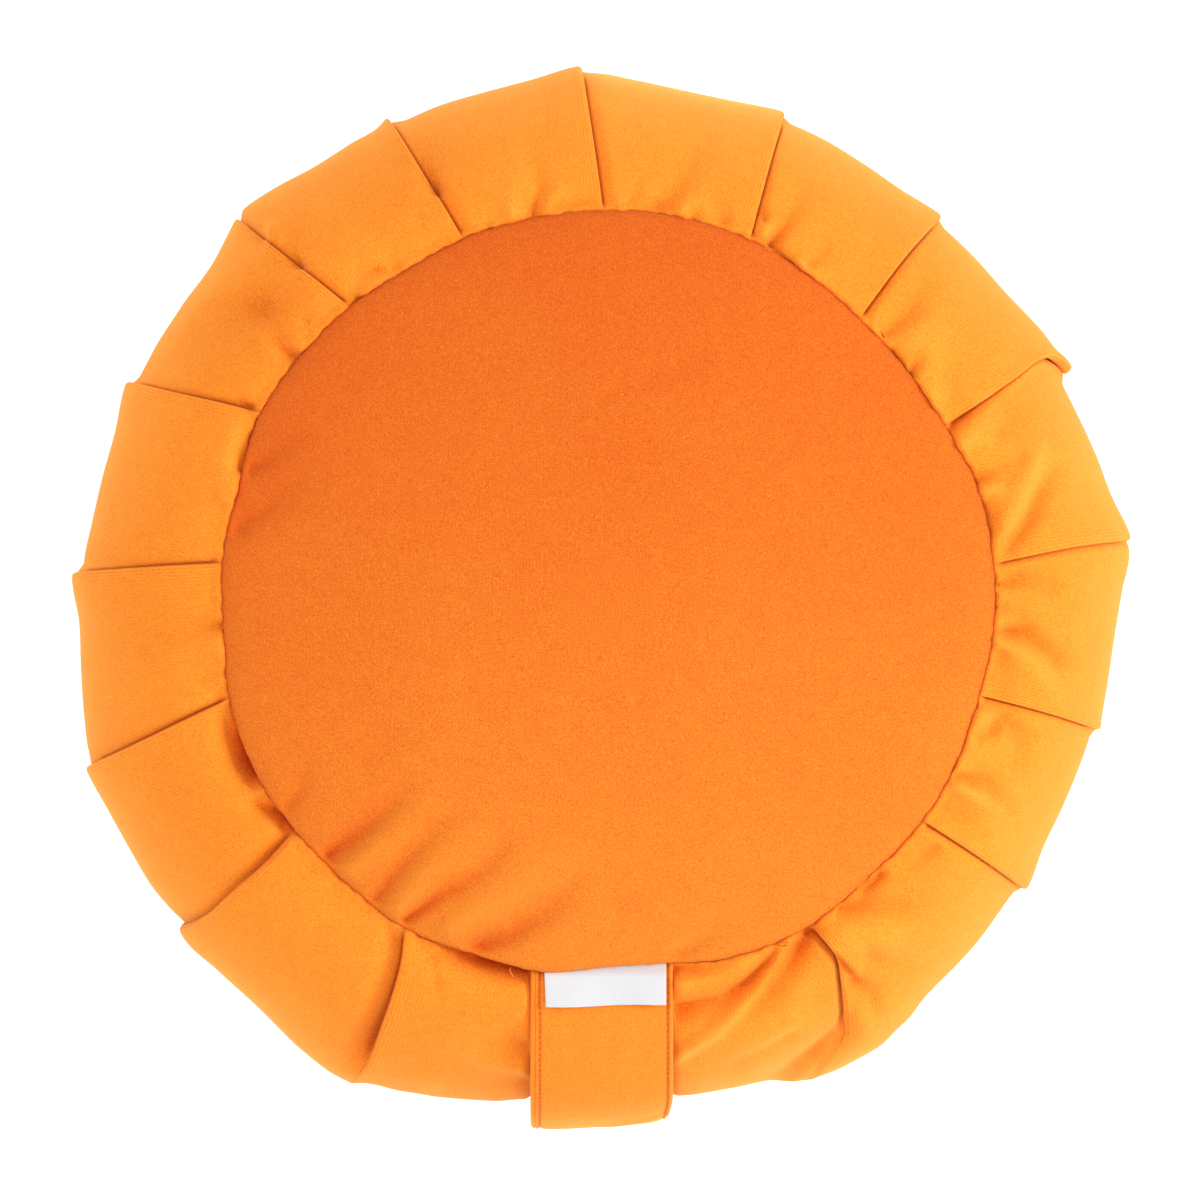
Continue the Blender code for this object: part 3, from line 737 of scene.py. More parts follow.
SIDE_CREASES = crease_table(
    # on the first panel, after the folded edge at the back
    (-3.3, 4.6, 0.5, (17, 127), (23, 133), (30, 143)),
    (-1.5, 3.4, 0.3, (9, 130), (12, 138)),
    (2.1, 2.3, 0.6, (25, 126), (27, 129)),
    (-2.0, 1.4, 0.6, (29, 124), (29, 126)),
    (-2.5, 3.4, 0.5, (39, 122), (36, 130)),
    # second panel
    (-3.0, 2.1, 0.8, (52, 123), (52, 125)),
    (3.0, 2.3, 0.8, (52, 118), (52, 120)),
    (-4.1, 2.9, 0.3, (54, 115), (60, 124), (64, 131)),
    (-3.0, 1.7, 0.8, (56, 113), (62, 108)),
    (3.3, 2.3, 0.6, (63, 109), (66, 106)),
    (-2.5, 1.7, 0.6, (67, 108), (68, 110)),
    (-1.5, 3.4, 0.4, (71, 113), (71, 119)),
    # third
    (-4.1, 3.4, 0.4, (91, 86), (99, 93), (104, 102)),
    (3.3, 2.9, 0.5, (87, 85), (90, 87)),
    (-3.0, 1.7, 0.8, (94, 80), (98, 75)),
    (-3.3, 1.7, 0.5, (100, 73), (102, 78)),
    (2.5, 5.8, 0.8, (108, 64), (104, 84)),
    (-2.1, 5.8, 0.8, (111, 64), (113, 76)),
    # fourth
    (-3.1, 2.3, 0.8, (112, 55), (117, 59)),
    (2.8, 3.4, 0.8, (117, 50), (119, 53)),
    (-2.6, 1.7, 0.8, (116, 44), (118, 41)),
    (-2.4, 5.8, 0.9, (129, 54), (133, 60)),
    (-3.8, 2.9, 0.4, (120, 38), (134, 45)),
    (2.4, 2.3, 0.6, (124, 35), (126, 36)),
    (-3.5, 2.8, 0.9, (123.5, 30), (126.5, 19)),
    Crease(3.9, 2.9, ((127.5, 18, 0.9), (133.5, 31, 1.0), (137.5, 41, 0.8), (141, 49, 0.3))),
    Crease(-3.8, 2.9, ((131, 16, 0.6), (138, 25, 1.0), (142, 34, 0.8), (146, 41, 0.4))),
    # fifth
    (2.4, 2.3, 0.7, (127, 3), (129, 3)),
    (-4.2, 3.0, 0.5, (128, 4), (134, 6), (140, 6), (146, 3)),
    (-2.4, 2.1, 0.4, (127, -3), (135, -5)),
    (3.1, 2.3, 0.7, (126, -10), (128, -10)),
    (-5.5, 2.8, 0.6, (127, -11), (137, -11), (143, -16), (148, -20)),
    (3.5, 3.4, 0.4, (127, -13), (132, -17), (139, -22), (142, -26)),
    (-2.4, 6.9, 0.9, (129, -18), (129, -30)),
    # sixth
    (3.1, 3.4, 0.8, (123, -39), (121, -46)),
    (-3.8, 3.4, 0.5, (122, -45), (130, -40), (135, -45), (134, -52)),
    (3.1, 2.3, 0.7, (114, -56), (116, -56)),
    (-4.5, 2.5, 0.4, (115, -58), (124, -60), (130, -68)),
    (3.5, 2.9, 0.4, (115, -61), (126, -68)),
    (-2.4, 4.6, 0.8, (111, -69), (117, -72)),
    # seventh
    (-2.8, 3.4, 0.5, (107, -82), (100, -87)),
    (-3.8, 2.3, 0.9, (90, -90), (84, -95)),
    (-4.2, 2.5, 0.5, (77, -101), (85, -100), (96, -100)),
    (3.1, 5.8, 0.8, (80, -110), (90, -110)),
    (-2.8, 4.6, 0.6, (86, -116), (98, -120)),
    (-3.1, 2.3, 0.5, (82, -125), (87, -128)),
    (1.2, 3.4, 0.6, (91, -132), (99, -136)),
    # the doubled flap where the seventh panel laps, and the dark line that carries on from it
    Crease(1.4, 6.0, ((74, -114, 1.0), (76, -116, 1.0), (81, -121.5, 1.0), (82.5, -123, 0.0)), cliff=-1),
    Crease(-3.0, 1.5, ((75, -115.2, 0.3), (77, -117.2, 1.0), (81, -121.7, 1.0),
                       (82.5, -123.2, 0.1)), cliff=1),
    (-2.0, 2.2, 0.4, (80, -125), (84, -129), (88, -132)),
    (1.5, 4.0, 0.6, (84, -136), (88, -143)),
    Crease(-3.6, 4.4, ((79, -138, 0.5), (75, -144, 1.0), (68, -150, 1.0), (60, -154, 0.6), (48, -156, 0.1))),
    # the panel that is dragged down beside the strap
    Crease(4.6, 2.6, ((60, -110.5, 0.7), (56.3, -117, 1.0), (48.9, -126.6, 1.0), (41.6, -133.6, 0.9),
                      (34.4, -140.2, 0.8), (22, -148.6, 0.6)), cliff=-1, cliff_width=1.1),
    Crease(-7.0, 3.4, ((59.5, -113, 0.6), (53.8, -119.5, 0.9), (47, -126, 0.8), (38, -131, 0.6),
                       (29.5, -133.4, 0.8), (23, -135, 1.0))),
    Crease(-5.4, 3.2, ((66.5, -108.5, 1.0), (64, -114, 0.9), (60, -121, 0.7), (54, -128, 0.5),
                       (44, -138, 0.1))),
    (2.0, 3.0, 0.8, (25, -125), (36, -123), (45, -119), (56, -112)),
    (-5.0, 3.0, 0.4, (23, -121), (30, -121), (38, -120)),
    (1.6, 9.0, 0.9, (62, -126), (62, -138), (54, -146)),
    (1.2, 2.5, 0.5, (62, -136), (55, -141), (42, -147)),
    (-1.2, 2.5, 0.5, (60, -141), (50, -147), (42, -151)),
    # on the strap's left, where the cloth sinks under the top panel's lip
    Crease(-9.0, 4.2, ((-61, -110, 0.0), (-54, -112.8, 0.3), (-47, -115.6, 0.7), (-40, -117.8, 1.0),
                       (-31, -120.2, 1.0), (-23, -121, 0.9))),
    (-1.6, 1.6, 0.3, (-61, -110), (-56, -118), (-54, -131)),
    (1.6, 4.0, 0.5, (-25, -154), (-37, -150), (-48, -144)),
    (-3.0, 4.0, 0.5, (-26, -147), (-30, -143)),
    (-2.4, 4.0, 0.3, (-26, -159), (-34, -158)),
    (1.0, 4.6, 0.4, (-57, -157), (-50, -161)),
    Crease(-4.4, 6.0, ((-66.5, -116, 0.1), (-69.2, -127.5, 0.3), (-72.4, -136.6, 0.6), (-75.6, -144.8, 1.0),
                       (-78, -150.5, 0.8), (-82, -156, 0.0)), cliff=1, cliff_width=1.2),
    # twelfth
    Crease(-11.0, 4.4, ((-122, -33, 0.1), (-120.3, -43, 0.6), (-116.4, -53, 1.0), (-113.8, -57.6, 0.8),
                        (-110.5, -62.3, 0.0))),
    Crease(-8.0, 3.0, ((-101, -73.8, 0.7), (-104.5, -71.2, 1.0), (-108, -69.2, 0.9), (-118, -65.5, 0.0))),
    (1.2, 3.0, 0.3, (-104, -78), (-114, -74)),
    Crease(-2.2, 4.6, ((-102, -77, 0.8), (-107.5, -83.9, 1.0), (-115.6, -90.7, 0.6),
                       (-124.6, -97.4, 0.0)), cliff=1, cliff_width=0.6),
    # thirteenth
    (-3.2, 2.1, 0.3, (-125, -9), (-133, -10)),
    (-1.7, 6.9, 0.5, (-133, -10), (-148, -10)),
    (2.0, 3.4, 0.3, (-125, -17), (-130, -14)),
    (-1.7, 5.8, 0.3, (-130, -25), (-138, -22)),
    # fourteenth
    (-4.3, 2.3, 0.4, (-119, 42), (-117, 49), (-113, 57)),
    (3.2, 3.4, 0.5, (-121, 32), (-122, 48), (-119, 56)),
    # fifteenth
    (-3.2, 1.5, 0.3, (-100, 78), (-104, 81), (-107, 85)),
    (2.2, 2.3, 0.3, (-99, 82), (-102, 85)),
    (-1.7, 2.8, 0.3, (-97, 90), (-99, 93)),
    (-3.2, 10.3, 0.6, (-110, 97), (-127, 87)),
    Crease(1.5, 4.5, ((-118, 105, 0.4), (-125, 101, 0.9), (-133, 93.5, 1.0), (-139.5, 82.5, 0.6),
                      (-144, 75, 0.0))),
    Crease(-1.9, 4.6, ((-100.5, 79, 0.9), (-104.5, 85, 0.8), (-108, 91, 0.9), (-113, 95.5, 1.0),
                       (-120, 98, 0.3))),
    (-2.8, 1.7, 0.5, (-115, 62), (-119, 64)),
    (2.5, 1.7, 0.5, (-110, 63), (-112, 62)),
    # sixteenth
    (-3.8, 2.9, 0.4, (-100, 109), (-102, 114)),
    (2.2, 1.7, 0.5, (-110, 117), (-108, 120)),
    (-2.5, 2.3, 0.5, (-112, 117), (-115, 119)),
    (-2.8, 2.3, 0.5, (-74, 107), (-79, 106)),
    (2.2, 2.1, 0.4, (-76, 100), (-77, 103)),
    (-2.8, 2.1, 0.4, (-80, 97), (-82, 98)),
    (-2.0, 2.8, 0.2, (-68, 107), (-71, 113)),
    # last
    (-3.2, 2.9, 0.3, (-23, 125), (-21, 133), (-23, 143)),
    (2.2, 2.5, 0.3, (-18, 128), (-15, 131)),
    (-2.2, 2.5, 0.6, (-16, 128), (-6, 129)),
    (-4.1, 3.4, 0.4, (-55, 133), (-59, 143)),
    (2.2, 3.4, 0.3, (-30, 126), (-30, 136)),
    (-1.7, 1.4, 0.2, (-37, 120), (-38, 124)),
)


@dataclass(frozen=True)
class PleatedSide:
    """The pleated side with its filling, one closed skin.

    Its profile from the top seam to the base seam is half an ellipse. Round it go the pleats, each a panel of
    cloth that comes out from under one folded edge, crosses to its own, and is folded back under.
    """

    material: bpy.types.Material
    upper_rows: int = 54
    lower_rows: int = 20
    hidden: tuple[float, ...] = (1.0, 0.5, 0.15)  # shares of the tuck before the panel shows
    shown: int = 58
    bend: int = 6
    under: tuple[float, ...] = (0.35, 0.7, 1.0)  # shares of the tuck after the fold
    profile: float = 157 * MM  # the side's length from seam to seam
    crowding: float = 0.10  # how much closer together the points lie beside the folded edges
    lap_gap: float = 0.4 * MM  # between a folded edge and the cloth under it
    thickest: float = 1.8 * MM  # a folded edge is no thicker than this, unless it curls over
    thinnest: float = 0.4 * MM
    tuck_depth: float = 1.0 * MM  # tucked cloth lies at least this deep
    ridge: float = 2.6 * MM  # no crease stands higher than this
    crevice: float = 1.0 * MM  # and how much deeper the cloth sinks right under the edge
    crevice_width: float = 0.5 * MM
    seam_floor: float = 1.6 * MM
    seam_lap: float = 0.6 * MM
    lap_start: float = 0.022  # share of the way down where a lap has its full shape
    corner: float = 2.3 * MM  # radius of a panel's corner at the widest line
    shoulder: float = 2.0 * MM  # puff beside the top seam
    shoulder_roll: float = 1.2 * MM  # how quickly it rises from the seam
    base_shoulder: float = 0.6 * MM
    shoulder_ease: tuple[float, float] = (0.06, 0.30)  # shares of the way down between which it sinks back
    pull: float = 0.8 * MM  # how much the stitches of the top seam draw the cloth in
    pull_length: float = 2.5 * MM
    crease_end: tuple[float, float] = (0.62, 0.50)  # shares of the way down between which creases come in
    ridge_highlight: float = 90.0  # painted highlight: how much lighter a crease is for each metre of its rise
    crease_shading: float = 0.5  # painted shade: how much darker a crease is 6 mm down
    # painted shade along the top and base seams, where the stitching also crushes the pile
    seam_shade_and_crush: float = 0.35
    seam_shade_and_crush_width: float = 0.7 * MM
    pressed_width: float = 4 * MM  # beside a folded edge
    bed_reach: float = 166 * MM
    bed_press: float = 5.0 * MM
    bed_press_end: float = 0.16
    bed_half_width: float = 20 * MM
    bed_ease: float = 6 * MM
    wall: float = 0.05 * MM  # the wall under a seam stands this far inside the side's own foot
    wall_drop: float = 0.4 * MM  # and starts this far behind the ledge
    inner_shares: tuple[float, ...] = (0.03, 0.5, 0.85)  # of the radius, for the rings behind a panel
    cloth_length: float = 175 * MM  # down the cloth map
    map_step: float = 0.1  # across the cloth map, from one pleat to the next

    @property
    def stations(self) -> int:
        """Points across one pleat."""
        return len(self.hidden) + self.shown + self.bend + len(self.under)

    def shares_down(self) -> np.ndarray:
        """Shares of the way down for the rows, close together beside the seams."""
        upper = np.linspace(0, 1, self.upper_rows)
        lower = np.linspace(1, 0, self.lower_rows + 1)[1:]
        return np.concatenate([0.5 * mix(upper**1.6, upper, 0.45), 1 - 0.5 * mix(lower**1.6, lower, 0.45)])

    def edge_angle(self, index: int, v: np.ndarray) -> np.ndarray:
        """The angle in radians of a folded edge: from seam to rim by the sine of the turn, bowed."""
        pleat = PLEATS[index % len(PLEATS)]
        lean = np.sin(math.pi * v)
        if pleat.way:
            shares, degrees = np.array(pleat.way).T
            angle = eased_curve(lean, shares, degrees)
        else:
            angle = mix(pleat.seam_deg, pleat.rim_deg, lean) + pleat.bow * np.sin(math.pi * lean)
        return np.radians(angle - 360 * (index // len(PLEATS)))

    def reach_across(self, index: int, share: np.ndarray) -> np.ndarray:
        """How far out a panel stands at the widest line, at a share of the way across."""
        pleat, after = PLEATS[index % len(PLEATS)], PLEATS[(index + 1) % len(PLEATS)]
        values = [pleat.root, pleat.root, pleat.early, pleat.middle, pleat.late, pleat.lip, after.edge]
        return eased_curve(share, [0, 0.06, 0.25, 0.5, 0.75, 0.95, 1.0], values) * MM

    def rounded(self, before_edge: np.ndarray) -> np.ndarray:
        """How far a panel's corner at the widest line falls back: a quarter circle over the last stretch."""
        share = np.clip(1 - before_edge / self.corner, 0, 1)
        return self.corner * 0.6 * (1 - np.sqrt(1 - share * share))

    def crisp(self, index: int, lean: np.ndarray) -> np.ndarray:
        """1 where a folded edge stands clear, falling to 0 past the place where the fold fades."""
        return 1 - smooth((lean - PLEATS[index % len(PLEATS)].fade) / 0.2)

    def depth(self, index: int, lean: np.ndarray) -> np.ndarray:
        """How deep the cloth lies under a folded edge."""
        return PLEATS[index % len(PLEATS)].fold * MM * self.crisp(index, lean)

    def half_edge(self, index: int, lean: np.ndarray) -> np.ndarray:
        """Half of a folded edge's own thickness."""
        thick = np.minimum(self.depth(index, lean), self.thickest) + self.curl(index, lean)
        return np.maximum(thick, self.thinnest) / 2

    def crevice_depth(self, index: int, lean: np.ndarray) -> np.ndarray:
        """How much deeper the cloth sinks right under a folded edge, less and less towards the rim."""
        pleat = PLEATS[index]
        soft = smooth((pleat.fade - lean) / 0.4) if pleat.fade < 1 else 1 - smooth((lean - 0.86) / 0.1)
        return self.crevice * pleat.dark * self.crisp(index, lean) * soft

    def curl(self, index: int, lean: np.ndarray) -> np.ndarray:
        """How much thicker a folded edge is where it curls over near the widest line."""
        return PLEATS[index % len(PLEATS)].curl * MM * smooth((lean - 0.8) / 0.15)

    def pleat_rows(self, index: int, v: np.ndarray) -> tuple[np.ndarray, ...]:
        """One pleat's points as angle, reach, stand-off and distance from its folded edge.

        Across the seam the pleat is a low step. Lower down, it starts tucked under the edge before it, rises
        within its rise, crosses, turns round its own folded edge in half a circle and runs back under itself.

        Args:
            index: which pleat.
            v: shares of the way down, one for each row.

        Returns:
            Four arrays, rows by stations.
        """
        pleat, after = PLEATS[index], PLEATS[(index + 1) % len(PLEATS)]
        start, end = (self.edge_angle(edge, v)[:, None] for edge in (index, index + 1))
        lean = np.sin(math.pi * v)[:, None]
        radius = mix(pleat.seam, pleat.edge, lean) * MM
        width = (start - end) * radius
        half = self.half_edge(index + 1, lean)
        gap = self.lap_gap * mix(0.3, 1.0, self.crisp(index, lean))
        floor = -self.depth(index, lean) - self.curl(index, lean) - gap
        crevice = self.crevice_depth(index, lean)
        even = np.linspace(0, 1, self.shown)[None, :]
        turn = np.linspace(0, math.pi, self.bend + 1)[None, 1:]
        hidden = -np.array(self.hidden) * pleat.tuck * MM * np.ones_like(width)
        shown = (even - self.crowding * np.sin(2 * math.pi * even)) * (width - half)
        bend = width - half + half * np.sin(turn)
        under = width - half - np.array(self.under) * (after.tuck * MM - half)
        risen = shown / (pleat.rise * MM)
        rise = mix(smooth(risen), np.clip(risen, 0, 1) ** 0.6, 0.4)
        out = [
            np.minimum(floor - crevice, -self.tuck_depth) * np.ones_like(hidden),
            floor * (1 - rise) - crevice * np.exp(-((shown / self.crevice_width) ** 2)),
            -half * (1 - np.cos(turn)),
            -2 * half * np.ones_like(under),
        ]
        later = self.crisp(index + 1, lean)
        panel = [self.reach_across(index, place / width) for place in (shown, bend, under)]
        reach = [
            self.reach_across(index - 1 + len(PLEATS), 1 + hidden / width),
            mix(pleat.edge * MM, panel[0], rise) - later * self.rounded(width - shown),
            panel[1] - later * self.rounded(width - bend),
            panel[2],
        ]
        shape = smooth(np.minimum(v, 1 - v) / self.lap_start)[:, None]
        seam_along, seam_out = self.seam_step(width, even)
        along = mix(seam_along, np.concatenate([hidden, shown, bend, under], axis=1), shape)
        out = mix(seam_out, np.concatenate(out, axis=1), shape)
        return start - along / radius, np.concatenate(reach, axis=1), out, along - width

    def seam_step(self, width: np.ndarray, even: np.ndarray) -> tuple[np.ndarray, np.ndarray]:
        """Distance along and stand-off of a pleat's stations at a seam, where the stitching holds it flat."""
        wide = np.ones_like(width)
        edge = self.bend + len(self.under)
        hidden = np.linspace(0, 0.3 * MM, len(self.hidden)) * wide
        shown = 0.3 * MM + even * (width - 0.7 * MM)
        falling = np.linspace(0.85, 0.05, edge) * wide
        lift = np.concatenate([0 * hidden, even**1.5 * wide, falling], axis=1)
        along = np.concatenate([hidden, shown, width * np.ones((1, edge))], axis=1)
        return along, self.seam_floor + self.seam_lap * lift

    def bed(self, x: np.ndarray, y: np.ndarray) -> np.ndarray:
        """1 under the strap, 0 clear of it."""
        inside = 1 - smooth((np.abs(x - FORM.strap_x) - self.bed_half_width) / self.bed_ease)
        return np.where(y < 0, inside, 0.0)

    def puff(self, v: np.ndarray) -> np.ndarray:
        """Height of the roll of cloth beside each seam: a quick rise, then a long ease back."""
        near = np.minimum(v, 1 - v)
        roll = 1 - np.exp(-near * self.profile / self.shoulder_roll)
        start, end = self.shoulder_ease
        ease = 1 - smooth((near - start) / (end - start))
        return roll * ease * np.where(v < 0.5, self.shoulder, self.base_shoulder)

    def place(
        self, theta: np.ndarray, v: np.ndarray, reach: np.ndarray, out: np.ndarray
    ) -> tuple[np.ndarray, np.ndarray]:
        """Points of the side: half an ellipse from seam to seam, each point stood off along its normal.

        Args:
            theta: angles round the cushion, in radians.
            v: shares of the way down.
            reach: radius at the widest line.
            out: stand-off.

        Returns:
            The points, with a last axis of x, y and z, and the painted shading at each: highlight on ridges,
            shade in troughs, pockets and laps and along the seams.
        """
        turn = math.pi * v
        near = np.minimum(v, 1 - v)
        seam = FORM.seam_radius(theta) + FORM.seam_wall
        first = mix(seam, reach, np.sin(turn))
        bed = self.bed(first * np.cos(theta), np.sin(theta))
        bulge = mix(reach, np.minimum(reach, self.bed_reach), bed) - seam
        across, up = FORM.half * np.sin(turn), bulge * np.cos(turn)
        length = np.hypot(across, up)
        press = self.bed_press * (1 - smooth(near / self.bed_press_end))
        pulled = FORM.stitch_pull(theta) * np.exp(-v * self.profile / self.pull_length) * self.pull
        lift = out + (1 - bed) * (self.puff(v) - pulled) - bed * press
        base = self.spin(theta, seam + bulge * np.sin(turn), FORM.middle + FORM.half * np.cos(turn))
        creased = relief(SIDE_CREASES, VIEW.as_seen(base, FORM.top_ledge))
        creased = np.where(creased > 0, np.tanh(creased / self.ridge) * self.ridge, creased)
        none, full = self.crease_end
        creased = (1 - bed) * smooth((none - v) / (none - full)) * creased
        lift = lift + creased
        # Painted shading: lighter on the ridges, darker the deeper the cloth sinks in a crease, pocket or lap,
        # and darker along the seams, where the stitching also crushes the pile.
        sunk = np.clip(-creased - 0.5 * np.clip(out, -4 * MM, 0), 0, 9 * MM)
        painted_shading = np.clip(creased, 0, 2 * MM) * self.ridge_highlight - self.crease_shading * (sunk / (6 * MM)) ** 1.5
        painted_shading = painted_shading - self.seam_shade_and_crush * np.exp(-near * self.profile / self.seam_shade_and_crush_width)
        return base + self.spin(theta, lift * across / length, lift * up / length), painted_shading

    def spin(self, theta: np.ndarray, radius: np.ndarray, height: np.ndarray) -> np.ndarray:
        """Points at an angle, a radius and a height."""
        return np.stack(np.broadcast_arrays(radius * np.cos(theta), radius * np.sin(theta), height), axis=-1)

    def foot(self, theta: np.ndarray, sign: int) -> np.ndarray:
        """The foot of the crease's wall under a seam: at the ledge, sunk where the strap presses."""
        around = FORM.seam_radius(theta) + FORM.seam_wall - self.wall
        sink = self.bed(around * np.cos(theta), np.sin(theta)) * self.bed_press
        height = FORM.top_ledge - sink if sign > 0 else FORM.base_ledge + sink
        return self.spin(theta, around, height - sign * self.wall_drop)

    def inner_rings(self, foot: np.ndarray, sign: int) -> np.ndarray:
        """Rings of the hidden face behind a panel, from near the middle out to the foot."""
        shares = np.array(self.inner_shares)[:, None, None]
        rings = foot[None] * shares
        dome = (FORM.crown - 5 * MM - FORM.top_ledge) if sign > 0 else -(FORM.base_ledge - 3 * MM)
        rings[..., 2] = foot[None, :, 2] - sign * 1.0 * MM + dome * (1 - shares[..., 0] ** 2.2)
        return rings

    def build(self) -> bpy.types.Object:
        """Joins the rings of the side into one skin, closed at a pole behind each panel."""
        v = self.shares_down()
        parts = [self.pleat_rows(index, v) for index in range(len(PLEATS))]
        theta, reach, out, aside = (np.concatenate(columns, axis=1) for columns in zip(*parts))
        side, painted_shading = self.place(theta, v[:, None] * np.ones_like(theta), reach, out)
        top_foot, base_foot = self.foot(theta[0], 1), self.foot(theta[-1], -1)
        above, below = self.inner_rings(top_foot, 1), self.inner_rings(base_foot, -1)[::-1]
        points, faces = tube(np.concatenate([above, top_foot[None], side, base_foot[None], below]))
        pressed = np.exp(-((aside / self.pressed_width) ** 2)) * smooth((v[:, None] - 0.01) / 0.04)
        rows = ((len(above) + 1,) * 2, (0, 0))
        marks = {"painted_shading": np.pad(painted_shading, rows, mode="edge"), "pressed": np.pad(pressed, rows)}
        marks = {mark: np.append(numbers.ravel(), [0.0, 0.0]) for mark, numbers in marks.items()}
        aside, v = np.pad(aside, rows, mode="edge"), np.pad(v, rows[0], mode="edge")
        cloth_map = self.cloth_map(aside, v, faces[1].size)
        obj = make_mesh_object("pleated_side", points, faces, self.material, cloth_map, marks)
        hand_in(obj, Slot.SIDE, "filled_side")
        return obj

    def cloth_map(self, aside: np.ndarray, v: np.ndarray, extra: int) -> np.ndarray:
        """Metres across and down the cloth at each face corner, the last few left at 0.

        Across is the distance from the panel's own folded edge plus a fixed step for each pleat.
        """
        across = aside + self.map_step * np.repeat(np.arange(len(PLEATS)), self.stations)
        across = np.pad(across, ((0, 0), (0, 1)), mode="edge")
        down = np.broadcast_to(v[:, None] * self.cloth_length, across.shape)
        grid = np.stack([across, down], axis=-1).reshape(-1, 2)
        corners = grid_quads(*across.shape, wrap=False).ravel()
        return np.concatenate([grid[corners], np.zeros((extra, 2))])


# ---------------------------------------------------------------- the round panels

TOP_CREASES = crease_table(
    (-3.8, 3.6, 0.2, (-90, -84), (-84, -79), (-71, -69), (-66, -63)),
    (-2.6, 3.1, 0.2, (-74, -98), (-68, -89), (-57, -77), (-49, -71)),
    (-3.8, 2.6, 0.2, (-65, -105), (-54, -97), (-41, -90), (-32, -80)),
    (-4.1, 3.8, 0.2, (-42, -114), (-31, -110), (-18, -102), (-9, -93)),
    (-1.9, 2.9, 0.2, (-104, -69), (-99, -63), (-98, -55)),
    (-0.7, 3.6, 0.3, (-78, -54), (-71, -48), (-69, -40)),
    (1.7, 4.8, 0.3, (-83, -89), (-71, -79), (-58, -67)),
    (1.9, 4.8, 0.3, (-67, -101), (-57, -89), (-44, -80)),
    (1.9, 4.8, 0.3, (-50, -107), (-34, -98), (-14, -86)),
    (-1.9, 4.8, 0.3, (-119, 23), (-110, 30), (-102, 37)),
    (-1.7, 3.6, 0.4, (24, -117), (31, -113), (38, -107)),
    (0.7, 3.6, 0.5, (21, -114), (31, -108), (42, -103)),
    (-0.7, 4.8, 0.5, (5, -101), (20, -94)),
    (-0.4, 2.4, 0.6, (-1, 64), (31, 80)),
    (-0.4, 2.4, 0.6, (12, 68), (31, 74)),
    (-0.4, 2.4, 0.6, (36, -37), (60, -57)),
    (-1.9, 4.0, 0.2, (-115, 42), (-106, 48), (-100, 53)),
)


@dataclass(frozen=True)
class RoundPanel:
    """A disc of cloth drawn to the seam line, with an upper and a lower face.

    Its points are a square grid pressed into the disc: each square ring of the grid becomes a round ring.
    """

    material: bpy.types.Material
    rings: int = 100

    def disc(self) -> tuple[np.ndarray, np.ndarray]:
        """Angles and shares of the radius for a square grid, rings closer together towards the edge."""
        side = np.linspace(-1, 1, 2 * self.rings + 1)
        a, b = np.meshgrid(side, side, indexing="xy")
        ring = np.maximum(np.abs(a), np.abs(b))
        wide = np.abs(a) >= np.abs(b)
        safe_a, safe_b = np.where(a == 0, 1e-9, a), np.where(b == 0, 1e-9, b)
        flat = math.pi / 4 * (b / safe_a) + np.where(a < 0, math.pi, 0)
        steep = math.pi / 2 * np.where(b < 0, -1, 1) - math.pi / 4 * (a / safe_b)
        return np.where(wide, flat, steep), 1 - (1 - ring) * mix((1 - ring) ** 0.6, 1.0, 0.35)

    def flat_points(self) -> tuple[np.ndarray, np.ndarray, np.ndarray]:
        """Share of the radius, x and y of each point of the grid."""
        theta, share = self.disc()
        radius = share * FORM.seam_radius(theta)
        return share, radius * np.cos(theta), radius * np.sin(theta)

    def join(self, name: str, upper: np.ndarray, lower: np.ndarray, painted_shading: np.ndarray) -> bpy.types.Object:
        """One closed sheet from its upper and lower face, with the painted shading marked on both."""
        points, quads = two_faced(upper, lower)
        marks = {"painted_shading": np.tile(painted_shading.ravel(), 2)}
        return make_mesh_object(name, points, (quads,), self.material, points[quads.ravel(), :2], marks)


